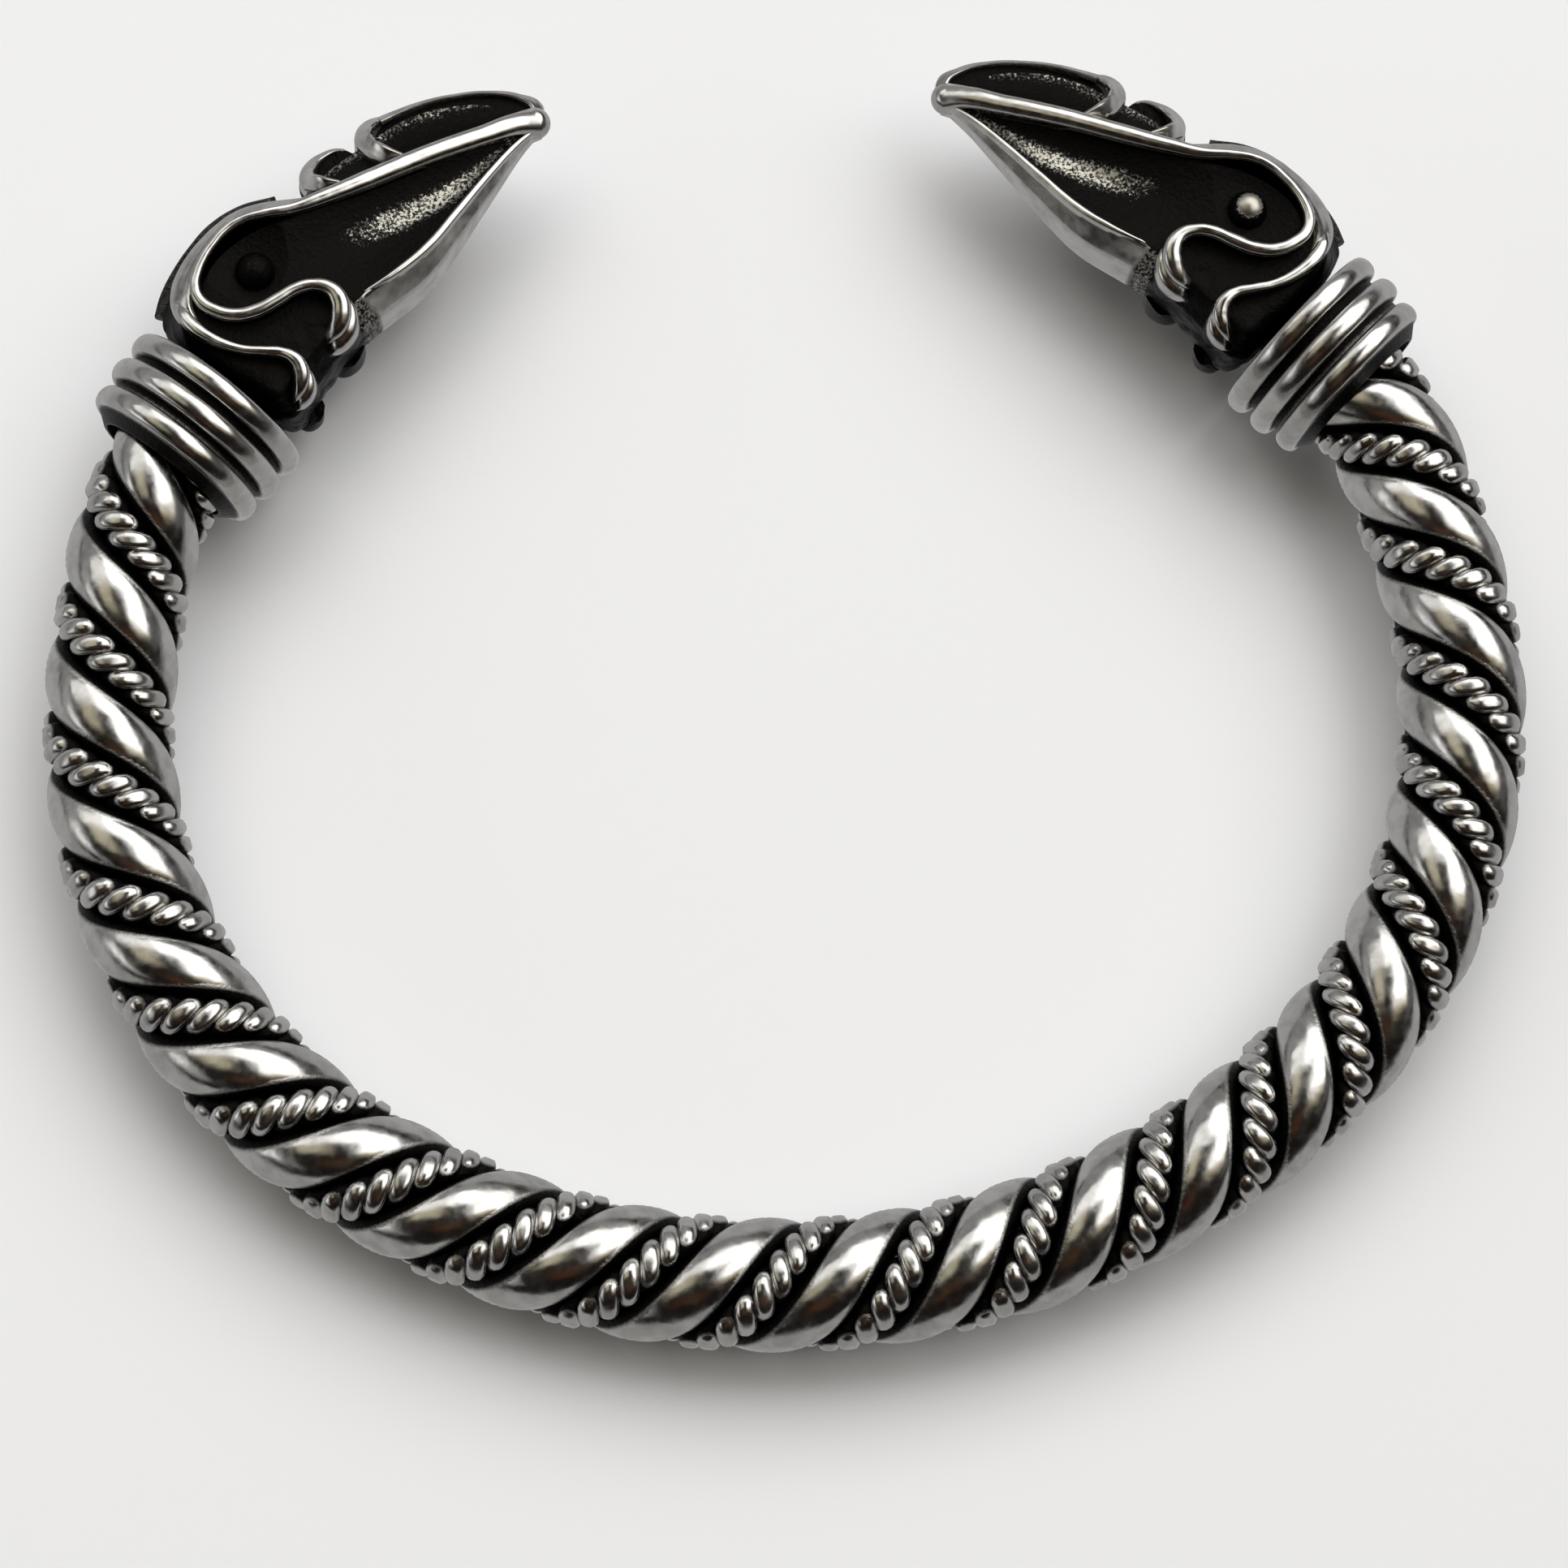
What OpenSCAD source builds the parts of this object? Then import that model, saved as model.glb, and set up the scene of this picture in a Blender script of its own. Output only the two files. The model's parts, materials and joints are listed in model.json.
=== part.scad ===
// An open arm ring, lying on its side. Two heavy strands and two fine two-ply ropes are
// twisted together into an oval hoop. Each end of the hoop sits in a collar of three rings,
// and each collar carries a raven's head, so that the two beaks face each other across a gap.
//
// The hoop is first drawn flat in the XY plane with its closed back toward -Y and the gap
// toward +Y. It is then tipped by the degree or two that it takes to rest on its collars and
// on the back of the hoop. All sizes are in millimetres and angles in degrees.

/* [Hoop] */
// Distance from the middle of the ring to the centre line at the closed back
back_depth = 24.75; // [15:0.25:40]
// Radius of the centre line across the back
back_r = 42; // [30:1:60]
// Angle that the back turns on each side of the middle
back_sweep = 37.5; // [20:0.5:50]
// Radius of the centre line round each side
side_r = 28.5; // [20:0.5:40]
// Angle that each side turns
side_sweep = 64.5; // [40:0.5:80]
// Straight stretch between a side and the neck
shoulder_len = 3.7; // [0:0.1:10]
// Radius of the last bend before the collar
neck_r = 18; // [12:0.5:30]
// Angle that the last bend turns
neck_sweep = 29; // [10:0.5:45]

/* [Twist] */
// Radius of the cylinder that the twisted hoop just fills
hoop_r = 3.5; // [2.5:0.1:5]
// Length along the hoop of one full turn of the twist
lead = 13.6; // [10:0.1:20]
// Place along the hoop, from the middle of the back, where heavy strand A lies on top
top_at = -0.23; // [-7:0.01:7]
// Half the width of a heavy strand
strand_half_width = 1.52; // [0.8:0.01:2]
// Half the height of a heavy strand, measured out from the hoop's centre line
strand_half_height = 1.22; // [0.8:0.01:2]
// Radius of a fine rope over its beads
rope_r = 0.86; // [0.5:0.01:1.2]
// Radius of a fine rope in the waist between two beads, as a share of the full radius
rope_waist = 0.72; // [0.5:0.01:1]
// Beads of a fine rope in one turn of the twist
beads_per_turn = 15; // [8:1:24]
// Angle between the rope's length and the slant of its beads
bead_slant = 50; // [30:1:80]
// Radius of the plain rod inside the twist
core_r = 0.6; // [0.4:0.05:1.5]

/* [Collar] */
// Radius over the two front rings of a collar
collar_r = 5.5; // [4.5:0.05:7]
// How much smaller the rear ring is
rear_step = 0.25; // [0:0.05:1]
// Distance between neighbouring rings
ring_pitch = 1.72; // [1.2:0.01:2.5]
// Radius of the round wire of each ring
ring_wire_r = 0.62; // [0.3:0.01:1]
// Depth of the grooves between the rings
groove_depth = 0.85; // [0.3:0.05:1.5]
// Radius of the bore that takes the hoop's end and the head's tenon
bore_r = 3.78; // [3.5:0.01:4.5]

/* [Raven head] */
// Half the width of the raised bands
band_half_width = 0.45; // [0.25:0.01:0.8]
// Height of a raised band above its own centre line
band_crown = 0.42; // [0.2:0.01:0.8]
// Depth of the band's side walls below its centre line
band_root = 1.1; // [0.5:0.05:2]
// Half the thickness of the thin crest over the skull
crest_half = 0.34; // [0.2:0.01:0.8]
// Radius of the eye's dome
eye_r = 0.85; // [0.5:0.05:1.5]
// Radius of the round socket that the eye lies in
socket_r = 3.0; // [2:0.05:4]
// Depth of the socket
socket_depth = 0.7; // [0.2:0.05:1.5]

/* [Fineness] */
// Sections of a heavy strand in one turn of the twist
sections_per_turn = 11; // [8:1:24]
// Sides of a heavy strand's section
strand_sides = 8; // [6:1:16]
// Sides of a fine rope's section
rope_sides = 5; // [5:1:8]
// Smoothing steps between two rows of a band's table
band_steps = 2; // [1:1:4]

/* [Hidden] */

CURVED = 48;        // fineness of true curves
STEEL = [0.72, 0.71, 0.70];
DARK_STEEL = [0.12, 0.11, 0.11];

// Centre line. A pose is [x, y, heading], and s is the length along the hoop from the back.

function turn(length, radius) = length / radius * 180 / PI;
function arc_length(radius, sweep) = radius * sweep * PI / 180;

function arc_from(pose, radius, sweep) =
    let (a = pose[2], b = a + sweep)
    [pose.x + radius * (sin(b) - sin(a)), pose.y - radius * (cos(b) - cos(a)), b];

function line_from(pose, length) =
    [pose.x + length * cos(pose[2]), pose.y + length * sin(pose[2]), pose[2]];

back_start = [0, -back_depth, 0];
back_end = arc_from(back_start, back_r, back_sweep);
side_end = arc_from(back_end, side_r, side_sweep);
shoulder_end = line_from(side_end, shoulder_len);
neck_end = arc_from(shoulder_end, neck_r, neck_sweep);

s_back = arc_length(back_r, back_sweep);
s_side = s_back + arc_length(side_r, side_sweep);
s_shoulder = s_side + shoulder_len;
s_neck = s_shoulder + arc_length(neck_r, neck_sweep);

function right_pose(s) =
    s < s_back ? arc_from(back_start, back_r, turn(s, back_r)) :
    s < s_side ? arc_from(back_end, side_r, turn(s - s_back, side_r)) :
    s < s_shoulder ? line_from(side_end, s - s_side) :
    arc_from(shoulder_end, neck_r, turn(s - s_shoulder, neck_r));

function pose_at(s) =
    let (p = right_pose(abs(s)))
    s < 0 ? [-p.x, p.y, -p[2]] : p;

// Twist. Phase 0 lies on the outside of the hoop and phase 90 on top.

end_gap = 0.2;                     // from the hoop's end to the middle of the collar
s_end = s_neck - end_gap;

function outward(pose) = [sin(pose[2]), -cos(pose[2]), 0];
function phase_at(s, start) = start + 360 * (s - top_at) / lead;
function spoke(s, start) =
    let (phase = phase_at(s, start))
    cos(phase) * outward(pose_at(s)) + sin(phase) * [0, 0, 1];
function helix(s, r, start) =
    let (p = pose_at(s))
    [p.x, p.y, 0] + r * spoke(s, start);

function unit(v) = v / norm(v);
probe = 0.05;                      // short step for reading a direction
function helix_direction(s, r, start) =
    unit(helix(s + probe, r, start) - helix(s - probe, r, start));

// One section across a helix: half_out and half_wide are its half sizes, power squares it off,
// and shear leans it along the helix as it goes sideways.
function rounded(value, power) = sign(value) * pow(abs(value), power);
function helix_section(s, r, start, half_out, half_wide, sides, power, shear) =
    let (along = helix_direction(s, r, start),
         out = spoke(s, start),
         wide = unit(cross(along, out)),
         up = cross(wide, along),
         centre = helix(s, r, start))
    [for (i = [0:sides - 1])
        let (a = 360 * i / sides,
             w = half_wide * rounded(sin(a), power))
        centre + half_out * rounded(cos(a), power) * up + w * wide + shear * w * along];

module skin(rings) {
    sides = len(rings[0]);
    last = len(rings) - 1;
    walls = [for (i = [0:last - 1], j = [0:sides - 1])
        let (a = i * sides + j, b = i * sides + (j + 1) % sides)
        each [[a, a + sides, b + sides], [a, b + sides, b]]];
    start_cap = [for (j = [0:sides - 1]) j];
    end_cap = [for (j = [sides - 1:-1:0]) last * sides + j];
    polyhedron([for (ring = rings) each ring], concat([start_cap], walls, [end_cap]));
}

strand_centre_r = hoop_r - strand_half_height;
strand_square = 0.8;               // below 1 the strand's section is fuller than an ellipse

module strand(start) {
    count = round(2 * s_end / lead * sections_per_turn);
    skin([for (i = [0:count])
        helix_section(-s_end + 2 * s_end * i / count, strand_centre_r, start,
            strand_half_height, strand_half_width, strand_sides, strand_square, 0)]);
}

rope_centre_r = hoop_r - rope_r;
bead_shear = -1 / tan(bead_slant);

module rope(start) {
    beads = round(2 * s_end / lead * beads_per_turn);
    skin([for (i = [0:2 * beads])
        let (r = rope_r * (i % 2 == 0 ? rope_waist : 1),
             shear = i == 0 || i == 2 * beads ? 0 : bead_shear)
        helix_section(-s_end + s_end * i / beads, rope_centre_r, start,
            r, r, rope_sides, 1, shear)]);
}

// Rest. The collars' middle rings and the back of the hoop both touch the ground.

neck_heading = back_sweep + side_sweep + neck_sweep;
rest_tilt = asin((collar_r - hoop_r) / (neck_end.y + back_depth));
rest_lift = hoop_r + back_depth * sin(rest_tilt);
rest_middle_y = 7.24;              // middle of the ring's depth from back to beaks

module resting() {
    translate([0, -rest_middle_y, rest_lift])
        rotate([rest_tilt, 0, 0])
            children();
}

// Neck frame of the left end: +X runs from the collar to the beak, +Y points away from the
// middle of the ring and +Z up, with the origin in the middle of the collar.

module at_left_neck() {
    translate([-neck_end.x, neck_end.y, 0])
        rotate([0, 0, 180 - neck_heading])
            children();
}

module at_right_neck() {
    mirror([1, 0, 0])
        at_left_neck()
            children();
}

// Core rod

core_sections = 20;
core_sides = 5;

module core_rod() {
    rod_end = s_end - end_gap;
    color(DARK_STEEL)
        resting()
            skin([for (i = [0:core_sections])
                let (p = pose_at(-rod_end + 2 * rod_end * i / core_sections))
                [for (j = [0:core_sides - 1])
                    let (a = 360 * j / core_sides)
                    [p.x, p.y, 0] - core_r * cos(a) * outward(p) + core_r * sin(a) * [0, 0, 1]]]);
}

// Collar

collar_half = ring_pitch + ring_wire_r;
lip_len = 0.55;                    // cone behind the rear ring
lip_r = bore_r + 0.22;

module collar() {
    sleeve_r = collar_r - groove_depth;
    rotate([0, 90, 0])
        rotate_extrude($fn = CURVED)
            union() {
                polygon([[bore_r, -collar_half - lip_len], [lip_r, -collar_half - lip_len],
                         [sleeve_r, -collar_half], [sleeve_r, collar_half], [bore_r, collar_half]]);
                for (i = [-1:1]) {
                    ring_r = i < 0 ? collar_r - rear_step : collar_r;
                    translate([ring_r - ring_wire_r, i * ring_pitch])
                        circle(r = ring_wire_r, $fn = CURVED);
                }
            }
}

// Raven head: a dark body, lofted through sections across the neck frame's X. Each side of a
// section runs from the crown over the place of the band down to the edge of the throat wall.

U = 0;
CROWN_V = 1;
CROWN_W = 2;
BAND_V = 3;
BAND_W = 4;
EDGE_V = 5;
EDGE_W = 6;
WALL_V = 7;
DIP = 8;

// place, crown, half thickness, band, height, edge, height, throat wall, dip of the side
BODY = [
    [2.60, 4.80, 0.90, 3.10, 3.20, -3.20, 3.00, -4.70, 0.00],
    [4.60, 5.70, 0.50, 3.90, 3.15, -3.50, 2.80, -4.60, 0.10],
    [8.00, 6.20, 0.50, 4.20, 3.35, -3.40, 2.70, -4.15, 0.20],
    [11.00, 5.60, 0.50, 3.10, 3.30, -3.70, 2.75, -4.10, 0.45],
    [13.50, 3.20, 0.80, 1.70, 3.00, -4.20, 2.50, -4.55, 0.75],
    [15.60, 3.60, 0.40, 0.70, 2.60, -4.55, 2.20, -4.80, 0.80],
    [18.20, 2.70, 0.40, -0.50, 2.15, -4.70, 1.80, -4.90, 0.70],
    [21.20, 1.60, 0.25, -2.20, 1.50, -4.70, 1.30, -4.85, 0.50],
    [23.60, -0.60, 0.20, -3.45, 1.00, -4.50, 0.90, -4.60, 0.25],
    [25.20, -3.50, 0.20, -4.20, 0.45, -4.50, 0.40, -4.60, 0.05],
];

face_dip = 0.35;                   // hollow of the sloping face between crown and band
wall_flat = 0.45;                  // flat of the throat wall, as a share of the edge's height

function body_half(row) = [
    [row[CROWN_V], row[CROWN_W]],
    [(row[CROWN_V] + row[BAND_V]) / 2, (row[CROWN_W] + row[BAND_W]) / 2 - face_dip],
    [row[BAND_V], row[BAND_W]],
    [(row[BAND_V] + row[EDGE_V]) / 2, (row[BAND_W] + row[EDGE_W]) / 2 - row[DIP]],
    [row[EDGE_V], row[EDGE_W]],
    [row[WALL_V], row[EDGE_W] * wall_flat],
];

function body_ring(row) =
    let (half = body_half(row), n = len(half))
    concat([for (p = half) [row[U], p.x, p.y]],
           [for (i = [n - 1:-1:0]) [row[U], half[i].x, -half[i].y]]);

// Bands. Each table has a row for each bend: place along the head, height on the head's
// profile and distance from the ring's plane, all to the centre line of the band.

EYE = [8.3, 2.1, 2.75];

MAIN_BAND = [
    [25.30, -4.35, 0.35],
    [24.40, -3.95, 0.95],
    [22.60, -3.00, 1.40],
    [19.40, -1.30, 2.10],
    [16.00, 0.45, 2.75],
    [12.70, 2.10, 3.30],
    [10.60, 3.65, 3.55],
    [8.60, 4.50, 3.60],
    [6.60, 4.40, 3.60],
    [5.20, 3.55, 3.60],
    [4.80, 2.20, 3.60],
    [5.60, 0.75, 3.60],
    [7.20, -0.05, 3.55],
    [8.80, -0.80, 3.50],
    [9.60, -2.00, 3.35],
    [9.10, -3.50, 3.05],
    [7.60, -3.75, 2.85],
];

SECOND_BAND = [
    [7.60, 5.00, 3.35],
    [5.30, 4.95, 3.35],
    [3.80, 4.00, 3.40],
    [3.25, 2.60, 3.50],
    [3.20, 1.00, 3.55],
    [3.95, -0.70, 3.50],
    [5.05, -1.90, 3.40],
    [5.35, -3.30, 3.15],
    [3.90, -4.30, 2.80],
];

LARGE_LEAF = [
    [25.45, -4.20, 0.15],
    [25.35, -2.60, 0.05],
    [24.00, 0.00, 0.05],
    [21.50, 2.10, 0.10],
    [19.20, 2.90, 0.25],
    [18.05, 2.60, 0.95],
    [17.50, 1.50, 1.90],
    [17.30, 0.30, 2.40],
];

SMALL_LEAF = [
    [17.70, 2.60, 0.60],
    [16.60, 3.90, 0.15],
    [15.20, 4.15, 0.25],
    [14.20, 3.60, 0.95],
    [13.90, 2.70, 2.00],
    [14.10, 1.90, 2.80],
];

CREST = [
    [12.90, 4.95],
    [11.25, 6.00],
    [9.60, 6.45],
    [8.00, 6.50],
    [6.40, 6.35],
    [4.90, 6.00],
    [3.80, 5.55],
];
TIP = [25.15, -4.15];
tip_r = 0.72;
tip_half = 0.3;                    // half the distance between the tip's two round ends

crest_root = 0.9;                  // how far the crest reaches into the body
crest_edge_r = 0.28;

// A smooth curve through the rows: steps short chords between each two.
function between(a, b, c, d, t) =
    0.5 * ((2 * b) + (c - a) * t + (2 * a - 5 * b + 4 * c - d) * t * t
        + (3 * b - a - 3 * c + d) * t * t * t);
function smooth_path(rows, steps) =
    let (last = len(rows) - 1)
    concat([for (i = [0:last - 1], k = [0:steps - 1])
        between(rows[max(i - 1, 0)], rows[i], rows[i + 1], rows[min(i + 2, last)], k / steps)],
        [rows[last]]);

band_overlap = 0.30;               // how far a low rib passes the ring's plane
band_shoulder = 0.10;              // where a rib's side walls end, above its centre line
band_flat = 0.45;                  // flat of a rib's top, as a share of its width

// A rib with a rounded top and upright sides that go down into the body.
module band(rows, half_width, steps) {
    path = smooth_path(rows, steps);
    last = len(path) - 1;
    skin([for (i = [0:last])
        let (along = unit(path[min(i + 1, last)] - path[max(i - 1, 0)]),
             side = unit(cross([0, 0, 1], along)),
             root = min(band_root, path[i].z + band_overlap))
        [for (p = [[1, -root], [1, band_shoulder], [band_flat, band_crown],
                   [-band_flat, band_crown], [-1, band_shoulder], [-1, -root]])
            path[i] + p[0] * half_width * side + [0, 0, p[1]]]]);
}

module crest() {
    for (i = [0:len(CREST) - 2])
        hull()
            for (p = [CREST[i], CREST[i + 1]])
                for (drop = [0, crest_root])
                    translate([p.x, p.y - drop, -crest_half])
                        cylinder(r = crest_edge_r, h = 2 * crest_half, $fn = 6);
}

module eye() {
    hull() {
        translate(EYE)
            sphere(r = eye_r, $fn = 8);
        translate([EYE.x, EYE.y, 0])
            sphere(r = eye_r, $fn = 8);
    }
}

module tip() {
    hull()
        for (w = [-tip_half, tip_half])
            translate([TIP.x, TIP.y, w])
                sphere(r = tip_r, $fn = 8);
}

module side_relief() {
    band(MAIN_BAND, band_half_width, band_steps);
    band(SECOND_BAND, band_half_width, 1);
    band(LARGE_LEAF, band_half_width, 1);
    band(SMALL_LEAF, band_half_width, 1);
    eye();
}

socket_forward = 0.3;              // how far the socket's middle lies in front of the eye
socket_top = 3.3;                  // height of the socket's rim over the ring's plane

module socket_cutter() {
    dish_r = (socket_r * socket_r + socket_depth * socket_depth) / (2 * socket_depth);
    translate([EYE.x + socket_forward, EYE.y, socket_top - socket_depth + dish_r])
        sphere(r = dish_r, $fn = 16);
}

tenon_r = bore_r - 0.08;
tenon_start = 1.35;
tenon_end = BODY[0][U] + 0.4;

module raven_head() {
    union() {
        difference() {
            skin([for (row = BODY) body_ring(row)]);
            socket_cutter();
            mirror([0, 0, 1])
                socket_cutter();
        }
        translate([tenon_start, 0, 0])
            rotate([0, 90, 0])
                cylinder(r = tenon_r, h = tenon_end - tenon_start, $fn = 12);
        side_relief();
        mirror([0, 0, 1])
            side_relief();
        crest();
        tip();
    }
}

// Nodes

module strand_a() {
    color(STEEL)
        resting()
            strand(90);
}

module strand_b() {
    color(STEEL)
        resting()
            strand(270);
}

module rope_a() {
    color(STEEL)
        resting()
            rope(0);
}

module rope_b() {
    color(STEEL)
        resting()
            rope(180);
}

module collar_left() {
    color(STEEL)
        resting()
            at_left_neck()
                collar();
}

module collar_right() {
    color(STEEL)
        resting()
            at_right_neck()
                collar();
}

module raven_head_left() {
    color(STEEL)
        resting()
            at_left_neck()
                raven_head();
}

module raven_head_right() {
    color(STEEL)
        resting()
            at_right_neck()
                raven_head();
}

strand_a();
strand_b();
rope_a();
rope_b();
core_rod();
collar_left();
collar_right();
raven_head_left();
raven_head_right();
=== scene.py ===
# %% [markdown]
# # A twisted arm ring with two ravens' heads
# The real thing is one rigid, open ring of steel. Two heavy strands and two fine two-ply ropes
# are twisted together into the hoop, each end goes into a collar of three rings, and each collar
# carries a raven's head. This lesson builds every piece in millimetres in a plain place of its
# own, then lays it into the frame, which is in metres.

# %% Load the frame
import json
import math

import bmesh
import bpy
from mathutils import Matrix, Vector

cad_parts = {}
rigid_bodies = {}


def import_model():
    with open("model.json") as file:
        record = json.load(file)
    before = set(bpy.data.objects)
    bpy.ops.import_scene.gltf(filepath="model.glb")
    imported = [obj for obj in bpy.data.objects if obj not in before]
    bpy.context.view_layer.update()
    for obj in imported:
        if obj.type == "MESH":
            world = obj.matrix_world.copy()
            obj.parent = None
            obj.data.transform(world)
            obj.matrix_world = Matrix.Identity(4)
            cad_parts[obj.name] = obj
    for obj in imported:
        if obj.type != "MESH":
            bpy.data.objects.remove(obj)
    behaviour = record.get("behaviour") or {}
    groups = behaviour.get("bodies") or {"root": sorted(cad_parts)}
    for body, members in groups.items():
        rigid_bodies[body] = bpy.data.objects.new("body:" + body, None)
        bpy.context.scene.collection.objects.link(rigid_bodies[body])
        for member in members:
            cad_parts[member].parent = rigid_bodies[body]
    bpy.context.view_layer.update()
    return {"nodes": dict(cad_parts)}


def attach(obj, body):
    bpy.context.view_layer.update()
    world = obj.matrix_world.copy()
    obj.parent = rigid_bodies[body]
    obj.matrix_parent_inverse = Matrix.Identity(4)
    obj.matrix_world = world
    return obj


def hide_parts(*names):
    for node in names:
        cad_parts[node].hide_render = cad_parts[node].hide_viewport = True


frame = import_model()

print("nodes in the frame:", sorted(frame["nodes"]))

# %% [markdown]
# An operator acts on all that is selected, so a piece is made the only selected one before each
# step. These few helpers do that, and turn edit mode on and off round an operator.

# %% Helpers for selecting, editing and modifiers
MM = 0.001
# Points closer than this, in millimetres, are one point
SAME_PLACE = 0.001


def make_active(piece):
    bpy.ops.object.select_all(action="DESELECT")
    piece.select_set(True)
    bpy.context.view_layer.objects.active = piece


def edit(piece, selected="SELECT"):
    """Opens a piece in edit mode with all or nothing selected."""
    make_active(piece)
    bpy.ops.object.mode_set(mode="EDIT")
    bpy.ops.mesh.select_all(action=selected)


def end_edit():
    bpy.ops.object.mode_set(mode="OBJECT")


def merge_doubles(piece):
    edit(piece)
    bpy.ops.mesh.remove_doubles(threshold=SAME_PLACE)
    end_edit()


def point_normals_outward(piece):
    edit(piece)
    bpy.ops.mesh.normals_make_consistent(inside=False)
    end_edit()


def apply_modifier(piece, kind, **settings):
    make_active(piece)
    modifier = piece.modifiers.new(kind.lower(), kind)
    for name, value in settings.items():
        setattr(modifier, name, value)
    bpy.ops.object.modifier_apply(modifier=modifier.name)


def new_object(name, data):
    piece = bpy.data.objects.new(name, data)
    bpy.context.collection.objects.link(piece)
    return piece


def join(pieces, name):
    make_active(pieces[0])
    for piece in pieces[1:]:
        piece.select_set(True)
    bpy.ops.object.join()
    pieces[0].name = name
    pieces[0].data.name = name
    return pieces[0]


def store(piece, name, values):
    """Keeps one number for each vertex, which a material can read by its name."""
    attribute = piece.data.attributes.new(name, "FLOAT", "POINT")
    attribute.data.foreach_set("value", values)


def triangles(piece):
    return sum(len(polygon.vertices) - 2 for polygon in piece.data.polygons)


# %% [markdown]
# The hoop's centre line is the one long curve that everything follows. It lies flat and is
# symmetric: a wide arc across the back, a tighter arc round each side, a short straight
# shoulder and a last bend that turns the neck inward. The same sizes drive the solids, so the
# dressed pieces land on them.

# %% Arcs and lines of the centre line
BACK_DEPTH = 24.75
BACK_R, BACK_SWEEP = 42.0, 37.5
SIDE_R, SIDE_SWEEP = 28.5, 64.5
SHOULDER_LEN = 3.7
NECK_R, NECK_SWEEP = 18.0, 29.0
# From the end of the wire to the middle of the collar
END_GAP = 0.2


def arc_from(pose, radius, sweep):
    x, y, heading = pose
    turned = heading + sweep
    dx = math.sin(math.radians(turned)) - math.sin(math.radians(heading))
    dy = math.cos(math.radians(turned)) - math.cos(math.radians(heading))
    return (x + radius * dx, y - radius * dy, turned)


def line_from(pose, length):
    x, y, heading = pose
    turned = math.radians(heading)
    return (x + length * math.cos(turned), y + length * math.sin(turned), heading)


BACK_START = (0.0, -BACK_DEPTH, 0.0)
BACK_END = arc_from(BACK_START, BACK_R, BACK_SWEEP)
SIDE_END = arc_from(BACK_END, SIDE_R, SIDE_SWEEP)
SHOULDER_END = line_from(SIDE_END, SHOULDER_LEN)
NECK_END = arc_from(SHOULDER_END, NECK_R, NECK_SWEEP)
print("the neck ends at", [round(value, 2) for value in NECK_END])

# %% Centre line of the hoop
S_BACK = BACK_R * math.radians(BACK_SWEEP)
S_SIDE = S_BACK + SIDE_R * math.radians(SIDE_SWEEP)
S_SHOULDER = S_SIDE + SHOULDER_LEN
S_NECK = S_SHOULDER + NECK_R * math.radians(NECK_SWEEP)
S_END = S_NECK - END_GAP
HOOP_LENGTH = 2 * S_END
LINE_STEP = 0.25


def pose_at(s):
    """Place and heading on the centre line, at s along it from the middle of the back."""
    way = abs(s)
    if way < S_BACK:
        pose = arc_from(BACK_START, BACK_R, math.degrees(way / BACK_R))
    elif way < S_SIDE:
        pose = arc_from(BACK_END, SIDE_R, math.degrees((way - S_BACK) / SIDE_R))
    elif way < S_SHOULDER:
        pose = line_from(SIDE_END, way - S_SIDE)
    else:
        pose = arc_from(SHOULDER_END, NECK_R, math.degrees((way - S_SHOULDER) / NECK_R))
    return pose if s >= 0 else (-pose[0], pose[1], -pose[2])


def poly_curve(name, points, flat=False):
    line = bpy.data.curves.new(name, "CURVE")
    line.dimensions = "2D" if flat else "3D"
    spline = line.splines.new("POLY")
    spline.points.add(len(points) - 1)
    for place, point in zip(points, spline.points):
        point.co = (*place, 1.0)
    return new_object(name, line)


line_count = round(HOOP_LENGTH / LINE_STEP)
line_points = [pose_at(-S_END + HOOP_LENGTH * i / line_count) for i in range(line_count + 1)]
hoop_line = poly_curve("hoop_line", [(x, y, 0.0) for x, y, heading in line_points], flat=True)
print("the hoop's wire is", round(HOOP_LENGTH, 1), "mm long")

# %% [markdown]
# The ring lies on its side and touches the ground with both collars and with the back of the
# hoop. The collars are thicker than the hoop, so the whole ring is tipped by two degrees or so.
# Each neck has a frame of its own, with X from the collar to the beak, Y away from the middle
# of the ring and Z up. The right one is the mirror image of the left one.

# %% How the ring rests, and where the necks are
HOOP_R = 3.5
COLLAR_R = 5.5
REST_MIDDLE_Y = 7.24

rest_tilt = math.asin((COLLAR_R - HOOP_R) / (NECK_END[1] + BACK_DEPTH))
rest_lift = HOOP_R + BACK_DEPTH * math.sin(rest_tilt)
REST = (Matrix.Scale(MM, 4) @ Matrix.Translation((0, -REST_MIDDLE_Y, rest_lift))
        @ Matrix.Rotation(rest_tilt, 4, "X"))
ON_THE_LEFT = (Matrix.Translation((-NECK_END[0], NECK_END[1], 0))
               @ Matrix.Rotation(math.radians(180 - NECK_END[2]), 4, "Z"))
LEFT_NECK = REST @ ON_THE_LEFT
RIGHT_NECK = REST @ Matrix.Scale(-1, 4, (1, 0, 0)) @ ON_THE_LEFT


def lay_into_frame(piece, matrix):
    """Lays a finished piece into the frame: the move goes into its mesh, not its object."""
    piece.data.transform(matrix)
    if matrix.determinant() < 0:
        piece.data.flip_normals()
    piece.data.update()
    piece.matrix_world = Matrix.Identity(4)


def shade(piece, crisp_angle=40):
    """Shades the piece smooth, and crisp where two faces meet at more than that angle."""
    make_active(piece)
    bpy.ops.object.shade_smooth_by_angle(angle=math.radians(crisp_angle))


print("the ring is tipped by", round(math.degrees(rest_tilt), 2), "degrees")

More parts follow.
